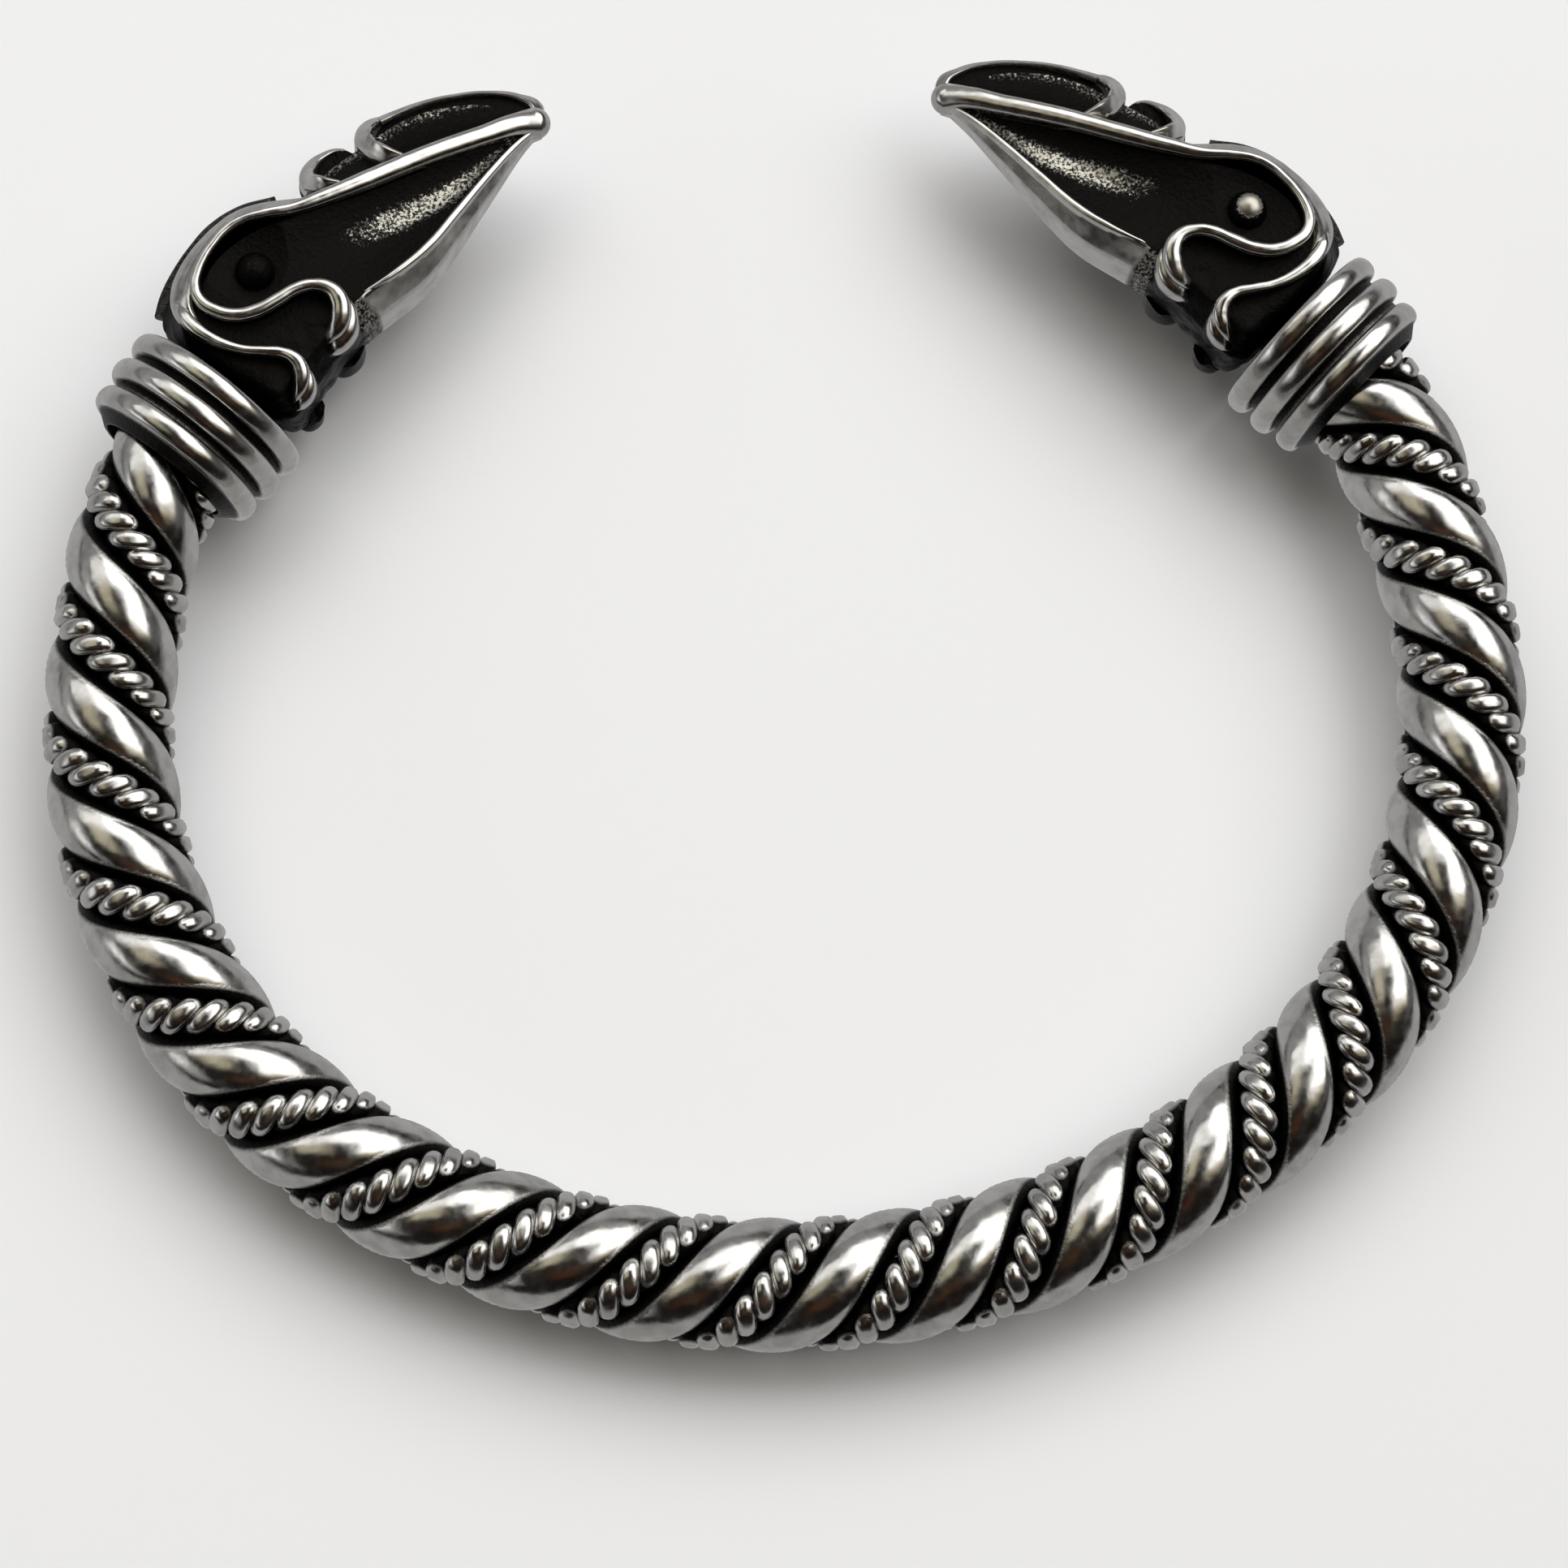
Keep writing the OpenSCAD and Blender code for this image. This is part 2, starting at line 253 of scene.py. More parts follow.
# %% [markdown]
# The smith twists straight bars first and bends the twisted rod round a form afterwards, and the
# model is made the same way. A section is drawn at the start of the straight rod, the Screw
# modifier turns it forward into a left-handed helix, and the Curve modifier bends the result
# along the centre line. Each vertex keeps three numbers from the straight state: how deep it
# lies under the rod's round surface, which is where the black stays when the outside is
# polished, and how far along and across its own strand it is, for the fine lines that polishing
# leaves. A larger blackening counts a small depth as a deeper one.

# %% Helpers for the twisted rod
LEAD = 13.6
TOP_AT = -0.23
# The two strands are alike, and so are the two ropes, so the lines repeat after half a turn
LINES_REPEAT = 180


def phase_at(s, start):
    """Angle round the rod in degrees: 0 on the outside of the ring and 90 on top."""
    return start + 360 * (s - TOP_AT) / LEAD


def on_rod(along, radius, phase):
    """A point of the straight rod, which lies along X and starts at X = 0."""
    turned = math.radians(phase)
    return Vector((along, -radius * math.cos(turned), radius * math.sin(turned)))


def store_rod_numbers(piece, blackening):
    depth, along, across = [], [], []
    for vertex in piece.data.vertices:
        x, y, z = vertex.co
        depth.append((HOOP_R - math.hypot(y, z)) * blackening)
        phase = math.degrees(math.atan2(z, -y)) - phase_at(x - S_END, 0)
        along.append(x)
        across.append(HOOP_R * math.radians(phase % LINES_REPEAT))
    store(piece, "depth", depth)
    store(piece, "along", along)
    store(piece, "across", across)


def bend_round_hoop(piece):
    apply_modifier(piece, "CURVE", object=hoop_line, deform_axis="POS_X")


print("the rod makes", round(HOOP_LENGTH / LEAD, 1), "turns")

# %% [markdown]
# A heavy strand has a full, rounded section. It is a circle of points pushed out to half the
# strand's width and height, with a power below one that makes it fuller than an ellipse. The
# width is laid round the rod as an angle, so that the top of the section follows the rod's round
# outside. On the slope of the twist the section is cut aslant, which makes it wider.

# %% Heavy strands
STRAND_HALF_WIDTH = 1.50
STRAND_HALF_HEIGHT = 1.22
STRAND_FULLNESS = 0.92
STRAND_BLACKENING = 1.6
STRAND_SIDES = 40
STRAND_STEPS_PER_TURN = 64
strand_centre_r = HOOP_R - STRAND_HALF_HEIGHT


def fuller(value, power):
    return math.copysign(abs(value) ** power, value)


def slant_factor(radius):
    """How much wider a section across the rod is than one across a strand at that radius."""
    return math.hypot(1, 2 * math.pi * radius / LEAD)


def strand_section(name, start):
    """A ring of points at the start of the rod."""
    bpy.ops.mesh.primitive_circle_add(vertices=STRAND_SIDES, radius=1)
    section = bpy.context.object
    section.name = name
    first_phase = phase_at(-S_END, start)
    half_angle = STRAND_HALF_WIDTH * slant_factor(strand_centre_r) / strand_centre_r
    for vertex in section.data.vertices:
        out, wide = vertex.co.y, vertex.co.x
        radius = strand_centre_r + STRAND_HALF_HEIGHT * fuller(out, STRAND_FULLNESS)
        swing = math.degrees(half_angle * fuller(wide, STRAND_FULLNESS))
        vertex.co = on_rod(0, radius, first_phase + swing)
    return section


def close_ends(piece, length):
    """Fills the two open ends of a straight tube along X."""
    for end in (0.0, length):
        edit(piece, "DESELECT")
        end_edit()
        for vertex in piece.data.vertices:
            vertex.select = abs(vertex.co.x - end) < SAME_PLACE
        bpy.ops.object.mode_set(mode="EDIT")
        bpy.ops.mesh.edge_face_add()
        end_edit()


def heavy_strand(name, start):
    strand = strand_section(name, start)
    turns = HOOP_LENGTH / LEAD
    steps = round(turns * STRAND_STEPS_PER_TURN)
    apply_modifier(strand, "SCREW", axis="X", angle=-2 * math.pi * turns,
                   screw_offset=HOOP_LENGTH, steps=steps, render_steps=steps)
    close_ends(strand, HOOP_LENGTH)
    point_normals_outward(strand)
    store_rod_numbers(strand, STRAND_BLACKENING)
    bend_round_hoop(strand)
    lay_into_frame(strand, REST)
    shade(strand)
    print(name, triangles(strand), "triangles")
    return strand


strand_a = heavy_strand("heavy_strand_a", 90)
strand_b = heavy_strand("heavy_strand_b", 270)

# %% [markdown]
# A fine rope is two plies laid left-handed round each other, and the whole rope winds round the
# rod in the groove between the strands. Each ply is a round tube along a path: a helix round the
# rope's own line, which is itself a helix round the rod. The path is worked out point by point
# in the straight state, and a curve with a round bevel makes the tube. The points that would
# stand out of the rod's round surface are pressed down to it, as polishing does.

# %% Path of a ply
ROPE_FLAT = 0.13
PLY_R = 0.54
PLY_SWING_OUT = 0.42
PLY_SWING_ASIDE = 0.52
BEADS_PER_TURN = 16
PLY_POINTS_PER_TURN = 18
PROBE_STEP = 0.05
rope_centre_r = HOOP_R + ROPE_FLAT - PLY_R - PLY_SWING_OUT


def ply_path(start, ply_start):
    ply_turns = HOOP_LENGTH / LEAD * BEADS_PER_TURN / 2
    count = round(ply_turns * PLY_POINTS_PER_TURN)
    points = []
    for i in range(count + 1):
        x = HOOP_LENGTH * i / count
        phase = phase_at(x - S_END, start)
        centre = on_rod(x, rope_centre_r, phase)
        next_phase = phase_at(x + PROBE_STEP - S_END, start)
        forward = (on_rod(x + PROBE_STEP, rope_centre_r, next_phase) - centre).normalized()
        outward = on_rod(0, 1, phase)
        sideways = forward.cross(outward).normalized()
        turned = math.radians(ply_start - 360 * ply_turns * i / count)
        points.append(centre + PLY_SWING_OUT * math.cos(turned) * outward
                      + PLY_SWING_ASIDE * math.sin(turned) * sideways)
    return points


print("each ply turns", round(HOOP_LENGTH / LEAD * BEADS_PER_TURN / 2, 1), "times round its rope")

# %% Fine ropes
PLY_ROUNDNESS = 6
ROPE_BLACKENING = 1.7


def round_tube(name, points, radius):
    tube = poly_curve(name, points)
    tube.data.bevel_depth = radius
    tube.data.bevel_resolution = PLY_ROUNDNESS
    tube.data.use_fill_caps = True
    make_active(tube)
    bpy.ops.object.convert(target="MESH")
    tube = bpy.context.object
    merge_doubles(tube)
    return tube


def press_down_to_rod(piece):
    for vertex in piece.data.vertices:
        radius = math.hypot(vertex.co.y, vertex.co.z)
        if radius > HOOP_R:
            vertex.co.y *= HOOP_R / radius
            vertex.co.z *= HOOP_R / radius


def fine_rope(name, start):
    plies = [round_tube(name, ply_path(start, ply_start), PLY_R) for ply_start in (0, 180)]
    rope = join(plies, name)
    press_down_to_rod(rope)
    point_normals_outward(rope)
    store_rod_numbers(rope, ROPE_BLACKENING)
    bend_round_hoop(rope)
    lay_into_frame(rope, REST)
    shade(rope, crisp_angle=80)
    print(name, triangles(rope), "triangles")
    return rope


rope_a = fine_rope("fine_rope_a", 0)
rope_b = fine_rope("fine_rope_b", 180)

# %% [markdown]
# The rod in the middle is what is seen, almost black, at the bottom of the grooves. It is a
# plain round wire, so a bevelled curve along the straight rod, bent like the rest, is all it
# needs. It stops a little short of the strands' ends, inside the collars.

# %% Core
CORE_R = 0.9
CORE_STEPS_SHORT = 2
core_steps = range(CORE_STEPS_SHORT, line_count + 1 - CORE_STEPS_SHORT)
core = round_tube("core_wire", [(HOOP_LENGTH * i / line_count, 0, 0) for i in core_steps], CORE_R)
point_normals_outward(core)
store_rod_numbers(core, blackening=1.0)
bend_round_hoop(core)
lay_into_frame(core, REST)
shade(core, crisp_angle=80)
print("core_wire", triangles(core), "triangles")

# %% [markdown]
# A collar is turned work: three half-round rings with black, flat-floored grooves between them,
# and a short cone behind. Its outline is drawn once, as edges in the plane of the axis, and the
# spin operator carries it round the axis. The rear ring is a little smaller.

# %% Outline of a collar
RING_PITCH = 1.72
RING_HALF_WIDTH = 0.63
RING_CROWN = 0.40
REAR_STEP = 0.25
GROOVE_DEPTH = 0.78
BORE_R = 3.78
LIP_LEN = 0.55
LIP_R = BORE_R + 0.22
RING_POINTS = 12


def ring_outline(middle, radius):
    """The rounded top of one ring with its two upright sides, from rear to front."""
    floor = COLLAR_R - GROOVE_DEPTH
    crown = radius - RING_CROWN
    points = [(middle - RING_HALF_WIDTH, floor)]
    for i in range(RING_POINTS + 1):
        turned = math.pi * (1 - i / RING_POINTS)
        points.append((middle + RING_HALF_WIDTH * math.cos(turned),
                       crown + RING_CROWN * math.sin(turned)))
    points.append((middle + RING_HALF_WIDTH, floor))
    return points


def collar_outline():
    rear = -RING_PITCH - RING_HALF_WIDTH - LIP_LEN
    points = [(rear, BORE_R), (rear, LIP_R)]
    for number in (-1, 0, 1):
        radius = COLLAR_R - REAR_STEP if number < 0 else COLLAR_R
        points += ring_outline(number * RING_PITCH, radius)
    points.append((RING_PITCH + RING_HALF_WIDTH, BORE_R))
    return points


print("a collar's outline has", len(collar_outline()), "points")

# %% Collars
COLLAR_SPIN_STEPS = 120


def collar_depth(at):
    """How deep a place lies under the top of its ring."""
    ring_top = COLLAR_R - (REAR_STEP if at.x < -RING_PITCH / 2 else 0)
    return ring_top - math.hypot(at.y, at.z)


def turned_collar(name, neck):
    outline = collar_outline()
    mesh = bpy.data.meshes.new(name)
    edges = [(i, (i + 1) % len(outline)) for i in range(len(outline))]
    mesh.from_pydata([(along, 0, radius) for along, radius in outline], edges, [])
    collar = new_object(name, mesh)
    edit(collar)
    bpy.ops.mesh.spin(steps=COLLAR_SPIN_STEPS, angle=2 * math.pi, center=(0, 0, 0), axis=(1, 0, 0))
    end_edit()
    merge_doubles(collar)
    point_normals_outward(collar)
    places = [vertex.co for vertex in collar.data.vertices]
    store(collar, "depth", [collar_depth(at) for at in places])
    store(collar, "along", [HOOP_R * math.atan2(at.z, at.y) for at in places])
    store(collar, "across", [at.x for at in places])
    lay_into_frame(collar, neck)
    shade(collar)
    print(name, triangles(collar), "triangles")
    return collar


collar_left = turned_collar("collar_left_rings", LEFT_NECK)
collar_right = turned_collar("collar_right_rings", RIGHT_NECK)

# %% [markdown]
# A raven's head is one casting. Its dark body is a loft: sections across the head, each with a
# sharp crown, a place for the raised band, the edge of the beak and a wall along the throat.
# A circle of points is laid out as the first section, extruded forward once for each row of the
# table, and closed. Creases keep the long edges crisp when Subdivision Surface rounds the rest.

# %% Sections of the body
U, CROWN_V, CROWN_W, BAND_V, BAND_W, EDGE_V, EDGE_W, WALL_V, DIP = range(9)
# Place, crown, half thickness, band, height, edge, height, throat wall, dip of the side
BODY = (
    (2.60, 4.80, 0.90, 3.10, 3.20, -3.20, 3.00, -4.70, 0.00),
    (4.60, 5.70, 0.50, 3.90, 3.15, -3.20, 2.80, -4.20, 0.10),
    (8.00, 6.20, 0.50, 4.20, 3.35, -3.05, 2.70, -3.90, 0.20),
    (11.00, 5.60, 0.50, 3.10, 3.30, -3.20, 2.75, -4.30, 0.45),
    (13.50, 3.20, 0.80, 1.80, 3.00, -3.95, 2.50, -5.10, 0.75),
    (15.60, 3.60, 0.40, 0.95, 2.60, -4.25, 2.20, -5.15, 0.80),
    (18.20, 2.80, 0.40, -0.20, 2.15, -4.20, 1.80, -4.90, 0.70),
    (21.20, 2.10, 0.25, -1.75, 1.55, -4.10, 1.30, -4.65, 0.50),
    (23.60, 0.30, 0.20, -3.00, 1.05, -4.15, 0.90, -4.40, 0.25),
    (25.40, -2.00, 0.20, -3.80, 0.50, -4.35, 0.40, -4.50, 0.05),
)
FACE_DIP = 0.35
WALL_FLAT = 0.45
THINNEST = 0.10
# Subdivision Surface fills a hollow in again, so a dip is drawn that much deeper
ROUNDING_LOSS = 1.4


def body_section(row):
    """The points of one section from the crown down one side and up the other."""
    crown, band = (row[CROWN_V], row[CROWN_W]), (row[BAND_V], row[BAND_W])
    edge, wall = (row[EDGE_V], row[EDGE_W]), (row[WALL_V], row[EDGE_W] * WALL_FLAT)
    face_w = (crown[1] + band[1]) / 2 - FACE_DIP * ROUNDING_LOSS
    face = ((crown[0] + band[0]) / 2, max(face_w, THINNEST))
    side = ((band[0] + edge[0]) / 2, (band[1] + edge[1]) / 2 - row[DIP] * ROUNDING_LOSS)
    half = [crown, face, band, side, edge, wall]
    whole = half + [(v, -w) for v, w in reversed(half)]
    return [Vector((row[U], v, w)) for v, w in whole]


print("a section of the body has", len(body_section(BODY[0])), "points")

# %% Loft of the body
# Crease of each long edge, counted from the crown down one side
LONG_CREASES = (0.6, 0.0, 0.5, 0.0, 0.9, 0.7)


def lofted_body(name):
    sides = len(body_section(BODY[0]))
    bpy.ops.mesh.primitive_circle_add(vertices=sides, radius=1, fill_type="NGON")
    body = bpy.context.object
    body.name = name
    for vertex, point in zip(body.data.vertices, body_section(BODY[0])):
        vertex.co = point
    edit(body)
    for row in BODY[1:]:
        bpy.ops.mesh.extrude_region_move(TRANSFORM_OT_translate={"value": (1, 0, 0)})
        shape = bmesh.from_edit_mesh(body.data)
        shape.verts.ensure_lookup_table()
        for vertex, point in zip(shape.verts[-sides:], body_section(row)):
            vertex.co = point
    end_edit()
    return body


def crease_long_edges(body):
    sides = len(body_section(BODY[0]))
    creases = LONG_CREASES + tuple(reversed(LONG_CREASES))
    layer = body.data.attributes.new("crease_edge", "FLOAT", "EDGE")
    for edge in body.data.edges:
        first, second = edge.vertices
        if first % sides == second % sides:
            layer.data[edge.index].value = creases[first % sides]


# %% [markdown]
# The body is black but for what rubs and what was polished: the wall under the beak, and a long
# patch in the hollow of its side, where the black is left only in the pits. That patch is partly
# worn and partly a painted sheen: its bare, warm steel stands in for a light's highlight on the
# grainy black. So each place of the body has a depth, as on the rod, and a share of wear and
# painted sheen, from none to all.

# %% Where the body is bright, black, worn and painted with a sheen
BLACK_DEPTH = 1.0
WALL_FROM, WALL_TO = 10.0, 11.8
WALL_MARGIN = 0.05
RIM_WEAR = 0.52
RIM_FROM, RIM_TO = 0.45, 0.95
THROAT_WEAR = 0.5
THROAT_FROM, THROAT_TO = 8.8, 12.8
# Place, middle, half width and strength of the patch, partly worn and partly a painted sheen
WORN_AND_SHEEN_PATCH = (
    (11.6, 0.1, 0.5, 0.0),
    (13.4, -0.7, 1.5, 0.47),
    (15.6, -1.7, 1.5, 0.60),
    (18.8, -3.0, 1.2, 0.62),
    (21.0, -3.4, 0.8, 0.56),
    (23.2, -3.7, 0.4, 0.48),
)
# Shares of the half width where the patch begins to fade and where it ends
PATCH_FADES, PATCH_ENDS = 0.2, 1.3


def row_between(table, u):
    """One row of a table that is ordered by its first column, read between its rows."""
    for low, high in zip(table, table[1:]):
        if u <= high[0]:
            break
    share = min(max((u - low[0]) / (high[0] - low[0]), 0), 1)
    return [a + (b - a) * share for a, b in zip(low, high)]


def fade(value, start, end):
    """Rises softly from zero at the start to one at the end."""
    share = min(max((value - start) / (end - start), 0), 1)
    return share * share * (3 - 2 * share)


def body_depth(at):
    if at.y < row_between(BODY, at.x)[EDGE_V] + WALL_MARGIN:
        return BLACK_DEPTH * (1 - fade(at.x, WALL_FROM, WALL_TO))
    return BLACK_DEPTH


def body_wear_and_sheen(at):
    """How much of the black is rubbed off, from none to all; on the side's patch it is partly a
    painted sheen.
    """
    row = row_between(BODY, at.x)
    if at.y > row[BAND_V]:
        share = (at.y - row[BAND_V]) / (row[CROWN_V] - row[BAND_V])
        return RIM_WEAR * fade(share, RIM_FROM, RIM_TO) * fade(at.x, WALL_FROM, WALL_TO)
    if at.y < row[EDGE_V]:
        begun = fade(at.x, THROAT_FROM, WALL_FROM)
        return THROAT_WEAR * begun * (1 - fade(at.x, WALL_TO, THROAT_TO))
    place, middle, half_width, strength = row_between(WORN_AND_SHEEN_PATCH, at.x)
    aside = abs(at.y - middle) / half_width
    return strength * (1 - fade(aside, PATCH_FADES, PATCH_ENDS))


# The patch is partly worn and partly a painted sheen
print("the worn patch is", WORN_AND_SHEEN_PATCH[-1][0] - WORN_AND_SHEEN_PATCH[0][0], "mm long")

# %% [markdown]
# The surface of the body has the grain of the casting, and the throat between the hooks is
# lumpy. Two Displace modifiers move the fine mesh in and out by cloud textures. A vertex group
# limits each of them, so that the polished wall stays smooth. The groups are called by name,
# because applying the first modifier replaces them with new ones.

# %% Grain and lumps of the casting
GRAIN_SIZE, GRAIN_HEIGHT = 0.35, 0.05
LUMP_SIZE, LUMP_HEIGHT = 1.1, 0.32
LUMPS_FULL_TO, LUMPS_END = 9.6, 10.6
LUMPS_FULL_BELOW, LUMPS_NONE_ABOVE = -2.0, -1.0


def roughen(body):
    cast = body.vertex_groups.new(name="cast")
    throat = body.vertex_groups.new(name="throat")
    for vertex in body.data.vertices:
        cast.add([vertex.index], body_depth(vertex.co) / BLACK_DEPTH, "REPLACE")
        low = 1 - fade(vertex.co.y, LUMPS_FULL_BELOW, LUMPS_NONE_ABOVE)
        rear = 1 - fade(vertex.co.x, LUMPS_FULL_TO, LUMPS_END)
        throat.add([vertex.index], low * rear, "REPLACE")
    for name, size, height, group in (("grain", GRAIN_SIZE, GRAIN_HEIGHT, "cast"),
                                      ("lumps", LUMP_SIZE, LUMP_HEIGHT, "throat")):
        texture = bpy.data.textures.new(name, "CLOUDS")
        texture.noise_scale = size
        apply_modifier(body, "DISPLACE", texture=texture, texture_coords="LOCAL",
                       strength=height, mid_level=0.5, vertex_group=group)


# %% [markdown]
# The bright bands stand up from the body like wire with upright sides, and they are polished only
# on top, so their feet are black. A band over the body has a half-round top. The walls round the
# skull and round the leaf-shaped cells behind the beak have a ridge on the inner side and a long
# slope outward. A thin dark plate closes each cell at the head's middle, and the crest is a low
# rib along the skull. Each section is drawn with X out of the head and Y up, and every point of
# it is given a depth, from which the material tells bright from black.

# %% Sections of the bands
BAND_HALF_WIDTH = 0.48
BAND_CROWN = 0.38
BAND_SHOULDER = 0.02
BAND_TOP_POINTS = 10
# A wall's top, from its inner side over the ridge and down the slope
SLOPE_POINTS = ((0.48, -0.38), (0.46, -0.24), (0.38, -0.12), (0.20, 0.02), (0.02, 0.17),
                (-0.12, 0.28), (-0.24, 0.34), (-0.36, 0.31), (-0.44, 0.20), (-0.48, 0.02))
POLISHED_FOOT = -0.9
DARK_FOOT = -1.0
BAND_ROOT = -2.4
HOOK_FOOT_ROOT = -1.3
PLATE_IN, PLATE_OUT, PLATE_HALF = 2.4, 0.1, 0.16
CREST_IN, CREST_OUT, CREST_HALF, CREST_EDGE = 1.2, 0.28, 0.34, 0.12


def with_root(top, root):
    """Adds the upright sides and the flat root to the top of a section."""
    left, right = -BAND_HALF_WIDTH, BAND_HALF_WIDTH
    return top + [(left, POLISHED_FOOT), (left, DARK_FOOT), (left, root),
                  (right, root), (right, DARK_FOOT), (right, POLISHED_FOOT)]


def round_top():
    top = []
    for i in range(BAND_TOP_POINTS + 1):
        turned = math.pi * i / BAND_TOP_POINTS
        top.append((BAND_HALF_WIDTH * math.cos(turned),
                    BAND_SHOULDER + (BAND_CROWN - BAND_SHOULDER) * math.sin(turned)))
    return top


BAND_SECTION = with_root(round_top(), BAND_ROOT)
HOOK_FOOT_SECTION = with_root(round_top(), HOOK_FOOT_ROOT)
WALL_SECTION = with_root(list(SLOPE_POINTS), BAND_ROOT)
PLATE_SECTION = [(-PLATE_IN, PLATE_HALF), (-PLATE_IN, -PLATE_HALF),
                 (PLATE_OUT, -PLATE_HALF), (PLATE_OUT, PLATE_HALF)]
CREST_SECTION = [(-CREST_IN, CREST_HALF), (-CREST_IN, -CREST_HALF),
                 (CREST_OUT - CREST_EDGE, -CREST_HALF), (CREST_OUT, CREST_EDGE - CREST_HALF),
                 (CREST_OUT, CREST_HALF - CREST_EDGE), (CREST_OUT - CREST_EDGE, CREST_HALF)]
print("a band's section has", len(BAND_SECTION), "points")

# %% Depths of the bands
# How fast the depth grows down the side of a band that stays polished
POLISHED_SIDE = 0.15
HOOKS_BELOW = -1.3
BROW_ABOVE = 2.6
HOOK_BRIGHT_TO = -0.4
HOOK_FOOT_BRIGHT_TO = -0.5
CREST_DEPTH = 0.62


def side_depth(height, polished):
    if height < POLISHED_FOOT:
        return BLACK_DEPTH
    return (BAND_CROWN - height) * (POLISHED_SIDE if polished else 1.0)


def band_depth(across, height, at):
    """A band over the brow and round the hook has one polished side, and elsewhere none."""
    if at.y < HOOKS_BELOW:
        return side_depth(height, across < 0) if height > HOOK_BRIGHT_TO else BLACK_DEPTH
    return side_depth(height, across > 0 and at.y > BROW_ABOVE)


def hook_foot_depth(across, height, at):
    return side_depth(height, across < 0) if height > HOOK_FOOT_BRIGHT_TO else BLACK_DEPTH


def wall_depth(across, height, at):
    return side_depth(height, across > 0)


def crest_depth(across, height, at):
    return CREST_DEPTH


def plate_depth(across, height, at):
    return BLACK_DEPTH


# %% [markdown]
# The courses of the bands are tables in the neck's frame, traced from the real head. The main
# band runs back from the beak's tip, round the brow and down into a hook under the eye, and the
# second one lies behind it. Both hooks have a foot below their bend. The first number of a row
# is the way from the collar, then come the way out, the height and the size of the section.

# %% Courses of the bands
MAIN_BAND = (
    (25.40, -3.93, 0.25, 1.78),
    (24.56, -3.42, 0.88, 1.38),
    (22.78, -2.52, 1.45, 1.20),
    (19.66, -0.89, 2.15, 1.15),
    (16.29, 0.67, 2.80, 1.05),
    (14.11, 1.74, 3.15, 0.90),
    (12.47, 2.67, 3.35, 0.68),
    (11.28, 3.67, 3.50, 0.55),
    (10.22, 4.39, 3.58, 0.48),
    (9.21, 4.71, 3.60, 0.48),
    (8.25, 4.73, 3.62, 0.46),
    (7.27, 4.63, 3.62, 0.46),
    (6.37, 4.38, 3.60, 0.52),
    (5.68, 3.98, 3.58, 0.62),
    (5.25, 3.30, 3.58, 0.70),
    (5.26, 2.38, 3.60, 0.75),
    (5.70, 1.34, 3.60, 0.75),
    (6.63, 0.52, 3.58, 0.78),
    (7.83, 0.02, 3.55, 0.75),
    (8.90, -0.36, 3.50, 0.70),
    (9.65, -0.93, 3.45, 0.68),
    (10.04, -1.73, 3.40, 0.85),
    (9.91, -2.49, 3.30, 1.10),
    (9.32, -3.10, 3.15, 1.20),
    (8.60, -3.36, 2.90, 1.05),
    (8.05, -3.25, 2.50, 0.75),
    (7.75, -3.10, 2.00, 0.40),
)
SECOND_BAND = (
    (4.85, 4.45, 2.75, 0.40),
    (4.12, 3.52, 3.20, 0.80),
    (3.88, 2.48, 3.40, 0.85),
    (3.97, 1.22, 3.40, 0.75),
    (4.42, -0.14, 3.40, 0.60),
    (5.11, -1.20, 3.40, 0.58),
    (5.61, -1.97, 3.35, 0.65),
    (5.75, -2.74, 3.30, 0.85),
    (5.47, -3.38, 3.15, 0.95),
    (4.90, -3.78, 2.95, 0.85),
    (4.35, -3.85, 2.55, 0.65),
    (4.05, -3.80, 2.05, 0.35),
)
HOOK_FOOT = (
    (10.25, -2.45, 2.75, 0.50),
    (9.75, -3.25, 2.65, 1.00),
    (8.90, -3.72, 2.45, 1.25),
    (8.10, -3.72, 2.15, 1.10),
    (7.50, -3.50, 1.60, 0.60),
)
SECOND_HOOK_FOOT = (
    (5.74, -3.10, 2.90, 0.40),
    (5.45, -3.75, 2.75, 0.80),
    (4.90, -4.12, 2.50, 1.00),
    (4.35, -4.15, 2.15, 0.90),
    (3.95, -4.00, 1.60, 0.50),
)
print("the main band goes through", len(MAIN_BAND), "points")

# %% Courses of the walls and of the beak's ridge
SKULL_WALL = (
    (13.17, 2.59, 3.00, 0.60),
    (11.47, 3.90, 3.36, 0.95),
    (10.33, 4.67, 3.42, 0.85),
    (9.22, 5.02, 3.46, 0.75),
    (8.31, 5.10, 3.38, 0.95),
    (7.33, 5.06, 3.28, 1.25),
    (6.32, 4.89, 3.22, 1.45),
    (5.46, 4.61, 3.15, 1.60),
    (4.68, 4.17, 3.05, 1.45),
    (4.16, 3.38, 2.95, 1.10),
    (3.89, 2.37, 2.80, 0.75),
)
BEAK_RIDGE = (
    (10.90, -3.10, 2.60, 0.15),
    (13.50, -3.90, 2.45, 0.42),
    (15.60, -4.20, 2.15, 0.50),
    (18.20, -4.16, 1.77, 0.48),
    (21.20, -4.07, 1.28, 0.42),
    (23.60, -4.12, 0.88, 0.36),
    (25.20, -4.30, 0.45, 0.30),
)

# %% Courses of the leaf-shaped cells and of the crest
LARGE_LEAF = (
    (25.60, -3.90, 0.15, 1.00),
    (26.25, -3.45, 0.20, 0.85),
    (26.10, -2.33, 0.28, 0.50),
    (25.20, -0.78, 0.35, 0.30),
    (23.95, 0.54, 0.35, 0.32),
    (22.49, 1.70, 0.40, 0.36),
    (21.23, 2.43, 0.45, 0.44),
    (20.22, 2.91, 0.50, 0.60),
)
LARGE_LEAF_BACK = (
    (20.70, 2.80, 0.20, 0.30),
    (19.65, 3.18, 0.55, 0.90),
    (18.85, 2.95, 0.95, 1.15),
    (18.40, 2.20, 1.40, 1.15),
    (18.36, 1.13, 1.85, 1.10),
    (18.71, 0.07, 1.85, 0.80),
)
